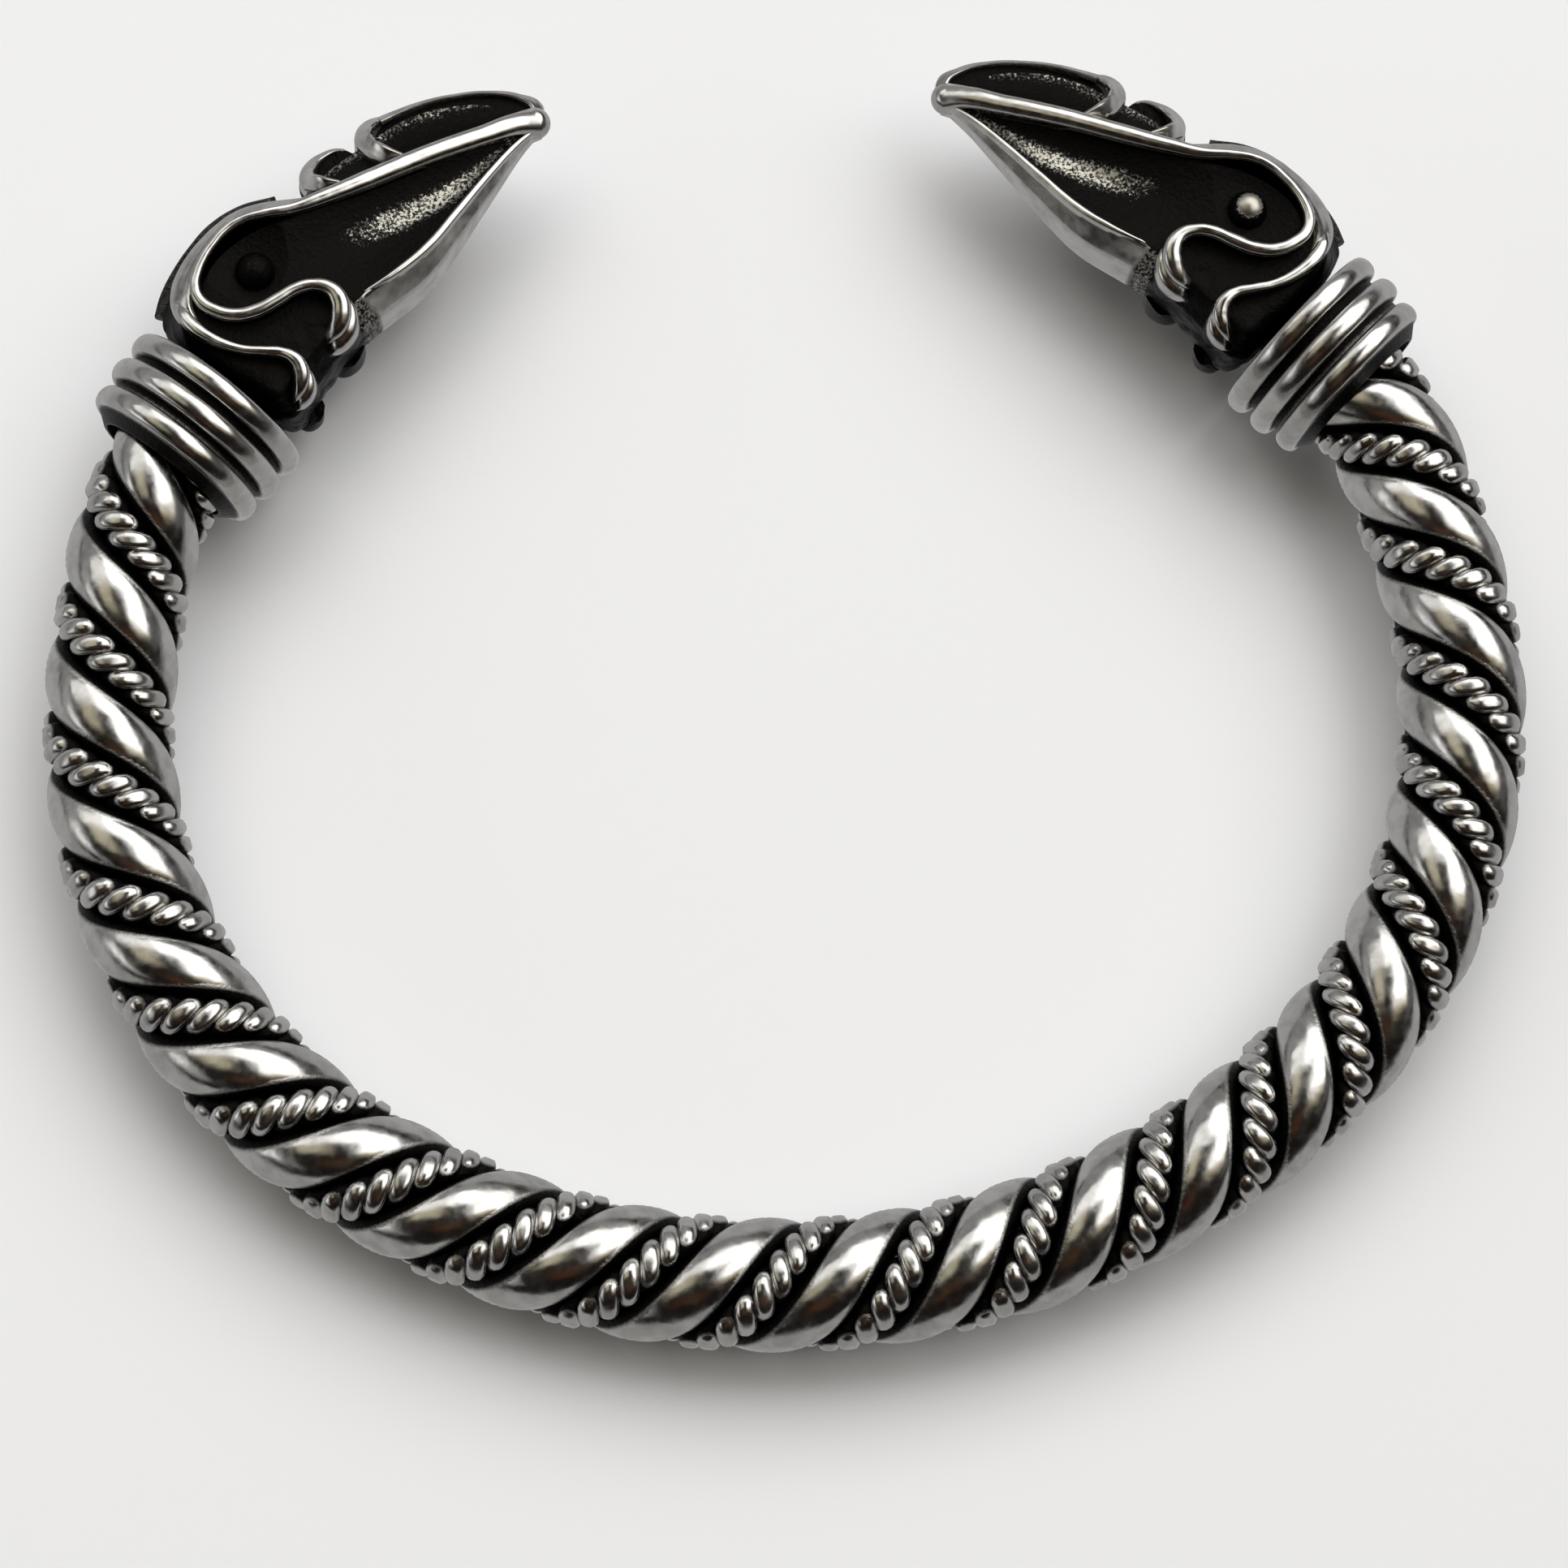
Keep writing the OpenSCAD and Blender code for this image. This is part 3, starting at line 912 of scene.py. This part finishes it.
SMALL_LEAF = (
    (17.86, 2.88, 0.05, 0.20),
    (17.57, 3.74, 0.10, 0.24),
    (16.73, 4.21, 0.25, 0.50),
    (15.66, 4.25, 0.60, 0.90),
    (14.81, 3.61, 1.40, 1.05),
    (14.80, 2.67, 2.20, 0.95),
    (15.30, 1.70, 2.40, 0.60),
)
LARGE_PLATE = (
    (25.60, -3.90, 0.0, 0.6),
    (26.05, -3.30, 0.0, 0.8),
    (25.90, -2.30, 0.0, 1.0),
    (24.95, -0.90, 0.0, 1.0),
    (23.75, 0.35, 0.0, 1.0),
    (22.30, 1.45, 0.0, 1.0),
    (21.10, 2.10, 0.0, 1.0),
    (19.90, 2.60, 0.0, 1.0),
    (18.90, 2.30, 0.0, 1.0),
)
SMALL_PLATE = (
    (17.85, 2.80, 0.0, 0.8),
    (17.50, 3.60, 0.0, 1.0),
    (16.70, 4.05, 0.0, 1.0),
    (15.70, 4.05, 0.0, 1.0),
    (15.00, 3.50, 0.0, 0.9),
    (14.80, 2.60, 0.0, 0.8),
)
CREST = (
    (13.20, 4.85, 0.0, 0.3),
    (11.40, 5.95, 0.0, 0.75),
    (9.60, 6.45, 0.0, 1.0),
    (8.00, 6.50, 0.0, 1.0),
    (6.40, 6.35, 0.0, 1.0),
    (4.90, 6.00, 0.0, 1.0),
    (3.80, 5.55, 0.0, 0.9),
)

# %% [markdown]
# Each band is a Bezier curve through the rows of its table, and carries its section along it. A
# curve with its twist set to Z up keeps that section upright. The parts are united by Booleans
# later, and a number kept at a point would be smeared over the faces beside each seam. So the
# parts keep their depth at the corners of the faces, where it stays true up to the seam.

# %% Carry a section along a curve
CURVE_STEPS = 8


def store_corners(piece, name, values):
    """Keeps one number for each face corner, given one number for each vertex."""
    attribute = piece.data.attributes.new(name, "FLOAT", "CORNER")
    attribute.data.foreach_set("value",
                               [values[corner.vertex_index] for corner in piece.data.loops])


def curve_through(name, rows, section):
    line = bpy.data.curves.new(name, "CURVE")
    line.dimensions = "3D"
    line.twist_mode = "Z_UP"
    line.resolution_u = CURVE_STEPS
    line.bevel_mode = "OBJECT"
    line.bevel_object = section
    line.use_fill_caps = True
    spline = line.splines.new("BEZIER")
    spline.bezier_points.add(len(rows) - 1)
    for (u, v, w, size), point in zip(rows, spline.bezier_points):
        point.co = (u, v, w)
        point.handle_left_type = point.handle_right_type = "AUTO"
        point.radius = size
    return new_object(name, line)


def swept(name, rows, outline, depth_of):
    section = poly_curve("section", [(x, y, 0) for x, y in outline], flat=True)
    section.data.splines[0].use_cyclic_u = True
    make_active(curve_through(name, rows, section))
    bpy.ops.object.convert(target="MESH")
    piece = bpy.context.object
    bpy.data.objects.remove(section)
    count = len(outline)
    store_corners(piece, "depth", [depth_of(*outline[i % count], vertex.co)
                                   for i, vertex in enumerate(piece.data.vertices)])
    merge_doubles(piece)
    point_normals_outward(piece)
    return piece


# %% [markdown]
# Only the upper side of a head is drawn. What lies below its middle plane is cut off with the
# bisect operator, and a mirrored copy makes the lower side. The feet of the lower hooks are made
# black all over as painted shade, because from above only their outer sides are seen, and these
# look dark under the head.

# %% Cut and mirror
MIDDLE_OVERLAP = 0.05


def cut_at_middle(piece):
    """Takes off what lies below the head's middle plane and closes the cut."""
    edit(piece)
    bpy.ops.mesh.bisect(plane_co=(0, 0, -MIDDLE_OVERLAP), plane_no=(0, 0, 1),
                        use_fill=True, clear_inner=True)
    end_edit()


def mirrored_copy(piece):
    copy = new_object(piece.name, piece.data.copy())
    copy.data.transform(Matrix.Scale(-1, 4, (0, 0, 1)))
    copy.data.flip_normals()
    return copy


# Painted shade: makes the whole piece black
def paint_shade_black(piece):
    black = [BLACK_DEPTH] * len(piece.data.loops)
    piece.data.attributes["depth"].data.foreach_set("value", black)


# %% [markdown]
# The eye is a ball in a round, shallow socket that is scooped out of the body with a Boolean.
# The beak's tip is a blunt, smooth knob in which the bands and the rim of the leaf end.

# %% Eye, socket and tip
EYE, EYE_R = (8.5, 2.2, 2.60), 1.10
SOCKET_R = 3.0
SOCKET_DEPTH = 0.7
SOCKET_FORWARD = 0.3
SOCKET_TOP = 3.3
SOCKET_FINENESS = 96
TIP, TIP_R = (25.45, -3.92, 0.0), 0.90
BALL_SEGMENTS, BALL_RINGS = 40, 24


def ball(name, place, radius, depth):
    bpy.ops.mesh.primitive_uv_sphere_add(segments=BALL_SEGMENTS, ring_count=BALL_RINGS,
                                         radius=radius)
    sphere = bpy.context.object
    sphere.name = name
    sphere.data.transform(Matrix.Translation(place))
    store_corners(sphere, "depth", [depth] * len(sphere.data.vertices))
    return sphere


def scoop_sockets(body):
    dish_r = (SOCKET_R ** 2 + SOCKET_DEPTH ** 2) / (2 * SOCKET_DEPTH)
    for side in (1, -1):
        middle = (EYE[0] + SOCKET_FORWARD, EYE[1], side * (SOCKET_TOP - SOCKET_DEPTH + dish_r))
        bpy.ops.mesh.primitive_uv_sphere_add(segments=SOCKET_FINENESS,
                                             ring_count=SOCKET_FINENESS, radius=dish_r)
        dish = bpy.context.object
        dish.data.transform(Matrix.Translation(middle))
        store_corners(dish, "depth", [BLACK_DEPTH] * len(dish.data.vertices))
        apply_modifier(body, "BOOLEAN", operation="DIFFERENCE", object=dish, solver="MANIFOLD")
        bpy.data.objects.remove(dish)


# %% [markdown]
# The parts of one head are now listed: those of a side, with their mirrored copies, and those
# that lie on the middle plane. They are united with the body, one after the other, into a single
# closed casting.

# %% Parts of a head
SIDE_PARTS = (
    ("main_band", MAIN_BAND, BAND_SECTION, band_depth),
    ("second_band", SECOND_BAND, BAND_SECTION, band_depth),
    ("hook_foot", HOOK_FOOT, HOOK_FOOT_SECTION, hook_foot_depth),
    ("second_hook_foot", SECOND_HOOK_FOOT, HOOK_FOOT_SECTION, hook_foot_depth),
    ("skull_wall", SKULL_WALL, WALL_SECTION, wall_depth),
    ("beak_ridge", BEAK_RIDGE, BAND_SECTION, wall_depth),
    ("large_leaf", LARGE_LEAF, WALL_SECTION, wall_depth),
    ("large_leaf_back", LARGE_LEAF_BACK, WALL_SECTION, wall_depth),
    ("small_leaf", SMALL_LEAF, WALL_SECTION, wall_depth),
)
MIDDLE_PARTS = (
    ("crest", CREST, CREST_SECTION, crest_depth),
    ("large_plate", LARGE_PLATE, PLATE_SECTION, plate_depth),
    ("small_plate", SMALL_PLATE, PLATE_SECTION, plate_depth),
)


def head_parts():
    upper = [swept(*part) for part in SIDE_PARTS]
    for part in upper:
        cut_at_middle(part)
    upper.append(ball("eye", EYE, EYE_R, BLACK_DEPTH))
    lower = [mirrored_copy(part) for part in upper]
    for upper_part, lower_part in zip(upper, lower):
        # The lower hook feet get painted shade
        if upper_part.name.endswith("hook_foot"):
            paint_shade_black(lower_part)
    middle = [ball("tip", TIP, TIP_R, 0.0)] + [swept(*part) for part in MIDDLE_PARTS]
    return upper + lower + middle


print("parts of a head:", 2 * (len(SIDE_PARTS) + 1) + len(MIDDLE_PARTS) + 1)

# %% Cast one head
BODY_LEVELS = 4


def drop_crumbs(head):
    """Deletes the tiny loose slivers that the unions leave beside the casting."""
    edit(head, "DESELECT")
    end_edit()
    min(head.data.vertices, key=lambda vertex: vertex.co.x).select = True
    bpy.ops.object.mode_set(mode="EDIT")
    bpy.ops.mesh.select_linked()
    bpy.ops.mesh.select_all(action="INVERT")
    bpy.ops.mesh.delete(type="VERT")
    end_edit()


def raven_head(name):
    head = lofted_body(name)
    crease_long_edges(head)
    apply_modifier(head, "SUBSURF", levels=BODY_LEVELS, render_levels=BODY_LEVELS)
    point_normals_outward(head)
    store_corners(head, "depth", [body_depth(vertex.co) for vertex in head.data.vertices])
    # Wear, and on the side's patch a painted sheen
    store_corners(head, "wear_and_sheen", [body_wear_and_sheen(vertex.co) for vertex in head.data.vertices])
    roughen(head)
    scoop_sockets(head)
    for part in head_parts():
        apply_modifier(head, "BOOLEAN", operation="UNION", object=part, solver="MANIFOLD")
        bpy.data.objects.remove(part)
    drop_crumbs(head)
    store(head, "along", [vertex.co.x for vertex in head.data.vertices])
    store(head, "across", [vertex.co.y for vertex in head.data.vertices])
    return head


def is_closed(piece):
    shape = bmesh.new()
    shape.from_mesh(piece.data)
    closed = all(edge.is_manifold for edge in shape.edges)
    shape.free()
    return closed


head_left = raven_head("raven_head_left_cast")
print("one head:", triangles(head_left), "triangles, closed:", is_closed(head_left))

# %% [markdown]
# The second head is a copy of the first. The black is taken off the middle of the right eye, and
# off the left one only in specks, so each copy gets its own share before it is laid at its neck.
# The right neck's frame mirrors what is laid into it.

# %% Take the black off the eyes and lay the heads at the necks
EYE_BARE_R, EYE_BLACK_R = 0.255, 1.19
# Share of the black taken off the middle of each eye
LEFT_EYE_BARE, RIGHT_EYE_BARE = 0.36, 1.0


def bare_eye_middles(head, strength):
    """Takes the black off the middle of the eyes, by the given share."""
    wear_and_sheen = head.data.attributes["wear_and_sheen"].data
    for corner in head.data.loops:
        at = head.data.vertices[corner.vertex_index].co
        aside = math.hypot(at.x - EYE[0], at.y - EYE[1])
        if aside < EYE_BLACK_R:
            wear_and_sheen[corner.index].value = strength * (1 - fade(aside, EYE_BARE_R, EYE_BLACK_R))


head_right = new_object("raven_head_right_cast", head_left.data.copy())
for head, eye_bare, neck in ((head_left, LEFT_EYE_BARE, LEFT_NECK),
                             (head_right, RIGHT_EYE_BARE, RIGHT_NECK)):
    bare_eye_middles(head, eye_bare)
    lay_into_frame(head, neck)
    shade(head)
print("the left neck is at", [round(value / MM, 1) for value in LEFT_NECK.translation], "mm")

# %% [markdown]
# The whole ring is one metal in two states. It was blackened all over and then polished, so what
# stands out is bright, and what lies more than half a millimetre deep is still black. One
# material reads the stored depth and mixes the two states. Materials are built from nodes, and
# these helpers add one node each and link it or set its numbers.

# %% Helpers for material nodes
def add_node(tree, kind, **settings):
    node = tree.nodes.new(kind)
    for name, value in settings.items():
        setattr(node, name, value)
    return node


def feed(tree, socket, value):
    """Links the socket to an output, or sets it to a number or a colour."""
    if isinstance(value, tuple):
        socket.default_value = (*value, 1.0)
    elif isinstance(value, (int, float)):
        socket.default_value = value
    else:
        tree.links.new(value, socket)


def stored(tree, name):
    return add_node(tree, "ShaderNodeAttribute", attribute_name=name).outputs["Fac"]


def noise(tree, vector, per_mm, detail=3.0, roughness=0.55):
    node = add_node(tree, "ShaderNodeTexNoise")
    node.inputs["Scale"].default_value = per_mm
    node.inputs["Detail"].default_value = detail
    node.inputs["Roughness"].default_value = roughness
    feed(tree, node.inputs["Vector"], vector)
    return node.outputs["Fac"]


def math_node(tree, operation, first, second):
    node = add_node(tree, "ShaderNodeMath", operation=operation)
    feed(tree, node.inputs[0], first)
    feed(tree, node.inputs[1], second)
    return node.outputs["Value"]


def spread(tree, value, from_low, from_high, to_low=0.0, to_high=1.0):
    """Carries one range of a value softly to another."""
    node = add_node(tree, "ShaderNodeMapRange", interpolation_type="SMOOTHSTEP")
    feed(tree, node.inputs["Value"], value)
    node.inputs["From Min"].default_value = from_low
    node.inputs["From Max"].default_value = from_high
    node.inputs["To Min"].default_value = to_low
    node.inputs["To Max"].default_value = to_high
    return node.outputs["Result"]


def blend(tree, kind, factor, low, high):
    node = add_node(tree, "ShaderNodeMix", data_type=kind)
    feed(tree, node.inputs["Factor"], factor)
    feed(tree, node.inputs["A"], low)
    feed(tree, node.inputs["B"], high)
    return node.outputs["Result"]


def bump(tree, height, distance_mm, below=None):
    node = add_node(tree, "ShaderNodeBump")
    node.inputs["Strength"].default_value = 1.0
    node.inputs["Distance"].default_value = distance_mm * MM
    feed(tree, node.inputs["Height"], height)
    if below is not None:
        feed(tree, node.inputs["Normal"], below)
    return node.outputs["Normal"]


# %% [markdown]
# The border between bright and black is ragged, because the cast surface is grainy, so a fine
# noise is added to the depth. Where the black is worn, and where a sheen is painted by baring the
# steel, it is left only in the pits, which are another noise. All noises have real sizes, given as
# cycles in a millimetre.

# %% Bright, black and worn steel, and painted sheen
PER_MM = 1000.0
POLISHED = (0.66, 0.645, 0.62)
POLISHED_DULL = (0.50, 0.485, 0.46)
# Bare steel: worn, and on the side's patch a painted sheen; its warm tint belongs to the sheen
WORN_AND_SHEEN = (0.46, 0.44, 0.38)
BLACK = (0.009, 0.0085, 0.008)
BLACK_FROM, BLACK_TO = 0.36, 0.66
BORDER_RAGGED = 0.15
WEAR_AND_SHEEN_FROM, WEAR_AND_SHEEN_TO = -0.05, 0.12
GRAIN_PER_MM = 4.5
PITS_PER_MM = 6.0


def object_mm(tree):
    """Object coordinates in millimetres."""
    node = add_node(tree, "ShaderNodeVectorMath", operation="SCALE")
    node.inputs["Scale"].default_value = PER_MM
    coordinates = add_node(tree, "ShaderNodeTexCoord").outputs["Object"]
    feed(tree, node.inputs[0], coordinates)
    return node.outputs["Vector"]


def black_bare_and_sheen(tree, in_mm, grain):
    """Where the steel is black, and where it is bare: worn off, and on the side's patch also bared
    for a painted sheen.
    """
    ragged = math_node(tree, "MULTIPLY", math_node(tree, "SUBTRACT", grain, 0.5), BORDER_RAGGED)
    depth = math_node(tree, "ADD", stored(tree, "depth"), ragged)
    black = spread(tree, depth, BLACK_FROM, BLACK_TO)
    pits = noise(tree, in_mm, PITS_PER_MM, roughness=0.7)
    wear_and_sheen = math_node(tree, "SUBTRACT", stored(tree, "wear_and_sheen"), pits)
    bare_and_sheen = math_node(tree, "MULTIPLY", spread(tree, wear_and_sheen, WEAR_AND_SHEEN_FROM, WEAR_AND_SHEEN_TO), black)
    black = math_node(tree, "MULTIPLY", black, math_node(tree, "SUBTRACT", 1.0, bare_and_sheen))
    return black, bare_and_sheen


print("bright to", BLACK_FROM, "mm deep and black from", BLACK_TO, "mm")

# %% [markdown]
# Polishing by hand leaves a faint waviness and very fine lines along the strands. Both are bump,
# because they are far too small to be modelled, and so is the finest grain of the black.

# %% Surface of the steel
CLOUDS_PER_MM = 0.7
SHINE_PER_MM = 1.6
POLISHED_ROUGHNESS = (0.16, 0.28)
WORN_ROUGHNESS = 0.36
BLACK_ROUGHNESS = 0.42
LINES_PER_MM = {"X": ("along", 0.35), "Y": ("across", 9.0)}
LINE_HEIGHT = 0.0015
WAVES_PER_MM = 0.9
WAVE_HEIGHT = 0.035
BLACK_GRAIN_HEIGHT = 0.09


def steel_color(tree, in_mm, black, bare_and_sheen):
    clouds = spread(tree, noise(tree, in_mm, CLOUDS_PER_MM), 0.35, 0.7)
    color = blend(tree, "RGBA", clouds, POLISHED, POLISHED_DULL)
    color = blend(tree, "RGBA", bare_and_sheen, color, WORN_AND_SHEEN)
    return blend(tree, "RGBA", black, color, BLACK)


def steel_roughness(tree, in_mm, black, bare_and_sheen):
    shine = spread(tree, noise(tree, in_mm, SHINE_PER_MM), 0.3, 0.75, *POLISHED_ROUGHNESS)
    shine = blend(tree, "FLOAT", bare_and_sheen, shine, WORN_ROUGHNESS)
    return blend(tree, "FLOAT", black, shine, BLACK_ROUGHNESS)


def steel_relief(tree, in_mm, black, grain):
    lines = add_node(tree, "ShaderNodeCombineXYZ")
    for axis, (name, per_mm) in LINES_PER_MM.items():
        feed(tree, lines.inputs[axis], math_node(tree, "MULTIPLY", stored(tree, name), per_mm))
    scratches = noise(tree, lines.outputs["Vector"], 1.0, detail=2.0)
    waves = bump(tree, noise(tree, in_mm, WAVES_PER_MM, detail=1.0), WAVE_HEIGHT)
    brushed = bump(tree, scratches, LINE_HEIGHT, waves)
    return bump(tree, math_node(tree, "MULTIPLY", grain, black), BLACK_GRAIN_HEIGHT, brushed)


def two_state_steel():
    material = bpy.data.materials.new("polished_and_blackened_steel")
    material.use_nodes = True
    tree = material.node_tree
    shader = tree.nodes["Principled BSDF"]
    in_mm = object_mm(tree)
    grain = noise(tree, in_mm, GRAIN_PER_MM, detail=4.0, roughness=0.65)
    black, bare_and_sheen = black_bare_and_sheen(tree, in_mm, grain)
    shader.inputs["Metallic"].default_value = 1.0
    feed(tree, shader.inputs["Base Color"], steel_color(tree, in_mm, black, bare_and_sheen))
    feed(tree, shader.inputs["Roughness"], steel_roughness(tree, in_mm, black, bare_and_sheen))
    feed(tree, shader.inputs["Normal"], steel_relief(tree, in_mm, black, grain))
    return material


steel = two_state_steel()
print("the steel has", len(steel.node_tree.nodes), "nodes")

# %% [markdown]
# Every piece gets the finish, moves with the ring's one rigid body and stands for its solid.

# %% Finish the pieces and tie them to the frame
DRESSED = {
    "strand_a": strand_a,
    "strand_b": strand_b,
    "rope_a": rope_a,
    "rope_b": rope_b,
    "core_rod": core,
    "collar_left": collar_left,
    "collar_right": collar_right,
    "raven_head_left": head_left,
    "raven_head_right": head_right,
}
for node, piece in DRESSED.items():
    piece.data.materials.clear()
    piece.data.materials.append(steel)
    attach(piece, "root")
    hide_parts(node)
bpy.data.objects.remove(hoop_line)
print("dressed:", ", ".join(DRESSED))

# %% [markdown]
# The ring lies on a plain pale floor under one large, soft light. The metal mirrors neither the
# floor nor the light. What it mirrors is the painted room of the next step, so that its
# highlights can be placed without changing the floor.

# %% Floor and light
FLOOR_SIZE = 3.0
FLOOR_COLOR = (0.87, 0.87, 0.885)
FLOOR_ROUGHNESS = 0.7
LIGHT_PLACE = (0.0, 0.33, 0.50)
LIGHT_SIZE = (0.80, 0.42)
LIGHT_POWER = 1.7


def pale_floor():
    bpy.ops.mesh.primitive_plane_add(size=FLOOR_SIZE)
    floor = bpy.context.object
    floor.name = "floor"
    floor.visible_glossy = False
    material = bpy.data.materials.new("pale_floor")
    material.use_nodes = True
    tree = material.node_tree
    shader = tree.nodes["Principled BSDF"]
    feed(tree, shader.inputs["Base Color"], FLOOR_COLOR)
    shader.inputs["Roughness"].default_value = FLOOR_ROUGHNESS
    floor.data.materials.append(material)


def soft_light():
    """A large light that is aimed at the middle of the floor."""
    light = bpy.data.lights.new("window", "AREA")
    light.shape = "RECTANGLE"
    light.size, light.size_y = LIGHT_SIZE
    light.energy = LIGHT_POWER
    lamp = new_object("window", light)
    lamp.visible_glossy = False
    lamp.location = LIGHT_PLACE
    lamp.rotation_euler = (-Vector(LIGHT_PLACE)).to_track_quat("-Z", "Y").to_euler()


pale_floor()
soft_light()
bpy.context.scene.view_settings.view_transform = "Standard"
print("the floor is", FLOOR_SIZE, "m wide, under a light", LIGHT_PLACE[2], "m up")

# %% [markdown]
# The ring was photographed from almost straight above, and a polished thing shows its
# surroundings more than itself. Its highlights tell what stood there: a broad window beyond the
# gap that reaches round to the right, a dimmer part of it to the left, a narrow strip low on the
# left, pale walls behind them, and a dark room with a little warmth in it on the camera's side.
# The world is painted with these few soft rectangles, as if on a ceiling one unit up, and with a
# grey table below the horizon.

# %% Room
DARK = (0.012, 0.010, 0.009)
TABLE_FAR = (0.46, 0.46, 0.465)
TABLE_NEAR = (0.40, 0.395, 0.395)
TABLE_NEAR_TO, TABLE_FAR_FROM = -0.7, 0.3
CEILING_DOWN_TO, TABLE_UP_TO = 0.12, -0.06
LOWEST_SLOPE = 0.02
# Colour, from and to across the view, from and to along it, and width of the soft edge
ROOM = (
    ((0.30, 0.30, 0.305), -6.0, 1.8, 1.5, 14.0, 0.5),
    ((0.38, 0.38, 0.38), -16.0, -1.6, -1.8, 2.0, 0.4),
    ((0.10, 0.10, 0.10), 1.8, 12.0, -1.2, 1.6, 0.4),
    ((1.30, 1.30, 1.30), -4.5, -2.0, -0.9, 0.5, 0.35),
    ((0.075, 0.032, 0.014), -0.45, 0.15, -1.1, -0.5, 0.25),
    ((0.50, 0.42, 0.27), 0.35, 1.6, -0.5, -0.1, 0.15),
    ((0.62, 0.57, 0.42), -0.85, -0.22, -0.12, 0.5, 0.14),
    ((1.30, 1.30, 1.28), -1.3, 0.3, 0.45, 1.3, 0.16),
    ((2.30, 2.30, 2.27), 0.27, 1.65, -0.22, 1.7, 0.14),
    ((2.30, 2.30, 2.27), -0.12, 0.4, 0.40, 1.7, 0.10),
)


def soft_rectangle(tree, across, along, sides):
    """One inside the rectangle on the ceiling and zero outside, with a soft edge."""
    left, right, near, far, soft = sides
    inside = spread(tree, across, left - soft, left + soft)
    for value, start, end in ((across, right + soft, right - soft),
                              (along, near - soft, near + soft),
                              (along, far + soft, far - soft)):
        inside = math_node(tree, "MULTIPLY", inside, spread(tree, value, start, end))
    return inside


def paint_room():
    world = bpy.data.worlds.new("studio_room")
    world.use_nodes = True
    bpy.context.scene.world = world
    tree = world.node_tree
    split = add_node(tree, "ShaderNodeSeparateXYZ")
    direction = add_node(tree, "ShaderNodeTexCoord").outputs["Generated"]
    feed(tree, split.inputs["Vector"], direction)
    up = math_node(tree, "MAXIMUM", split.outputs["Z"], LOWEST_SLOPE)
    across = math_node(tree, "DIVIDE", split.outputs["X"], up)
    along = math_node(tree, "DIVIDE", split.outputs["Y"], up)
    color = DARK
    for light, *sides in ROOM:
        color = blend(tree, "RGBA", soft_rectangle(tree, across, along, sides), color, light)
    far = spread(tree, split.outputs["Y"], TABLE_NEAR_TO, TABLE_FAR_FROM)
    table = blend(tree, "RGBA", far, TABLE_NEAR, TABLE_FAR)
    below = spread(tree, split.outputs["Z"], CEILING_DOWN_TO, TABLE_UP_TO)
    color = blend(tree, "RGBA", below, color, table)
    feed(tree, tree.nodes["Background"].inputs["Color"], color)


paint_room()
print("the room is painted with", len(ROOM), "soft rectangles")

# %% [markdown]
# The camera stands where the photograph was taken from, as far as the outline of the ring tells:
# 180 mm away, about 14 degrees off the vertical, and rolled a little.

# %% Camera
CAMERA_TARGET = (-0.00080, -0.00519, 0.00455)
CAMERA_DISTANCE = 0.180
CAMERA_AZIMUTH = -14.24
CAMERA_ELEVATION = 75.62
CAMERA_ROLL = 9.70
CAMERA_LENS = 76.57
CAMERA_SENSOR = 36.0
CAMERA_NEAREST = 0.01


def photo_camera():
    azimuth, elevation = math.radians(CAMERA_AZIMUTH), math.radians(CAMERA_ELEVATION)
    level = math.cos(elevation)
    back = Vector((level * math.sin(azimuth), -level * math.cos(azimuth), math.sin(elevation)))
    camera = new_object("photo_camera", bpy.data.cameras.new("photo_camera"))
    camera.data.lens = CAMERA_LENS
    camera.data.sensor_width = CAMERA_SENSOR
    camera.data.clip_start = CAMERA_NEAREST
    place_there = Matrix.Translation(Vector(CAMERA_TARGET) + CAMERA_DISTANCE * back)
    turn_to_ring = back.to_track_quat("Z", "Y").to_matrix().to_4x4()
    roll = Matrix.Rotation(math.radians(CAMERA_ROLL), 4, "Z")
    camera.matrix_world = place_there @ turn_to_ring @ roll
    bpy.context.scene.camera = camera


photo_camera()
print("the camera is", CAMERA_DISTANCE, "m from the ring")
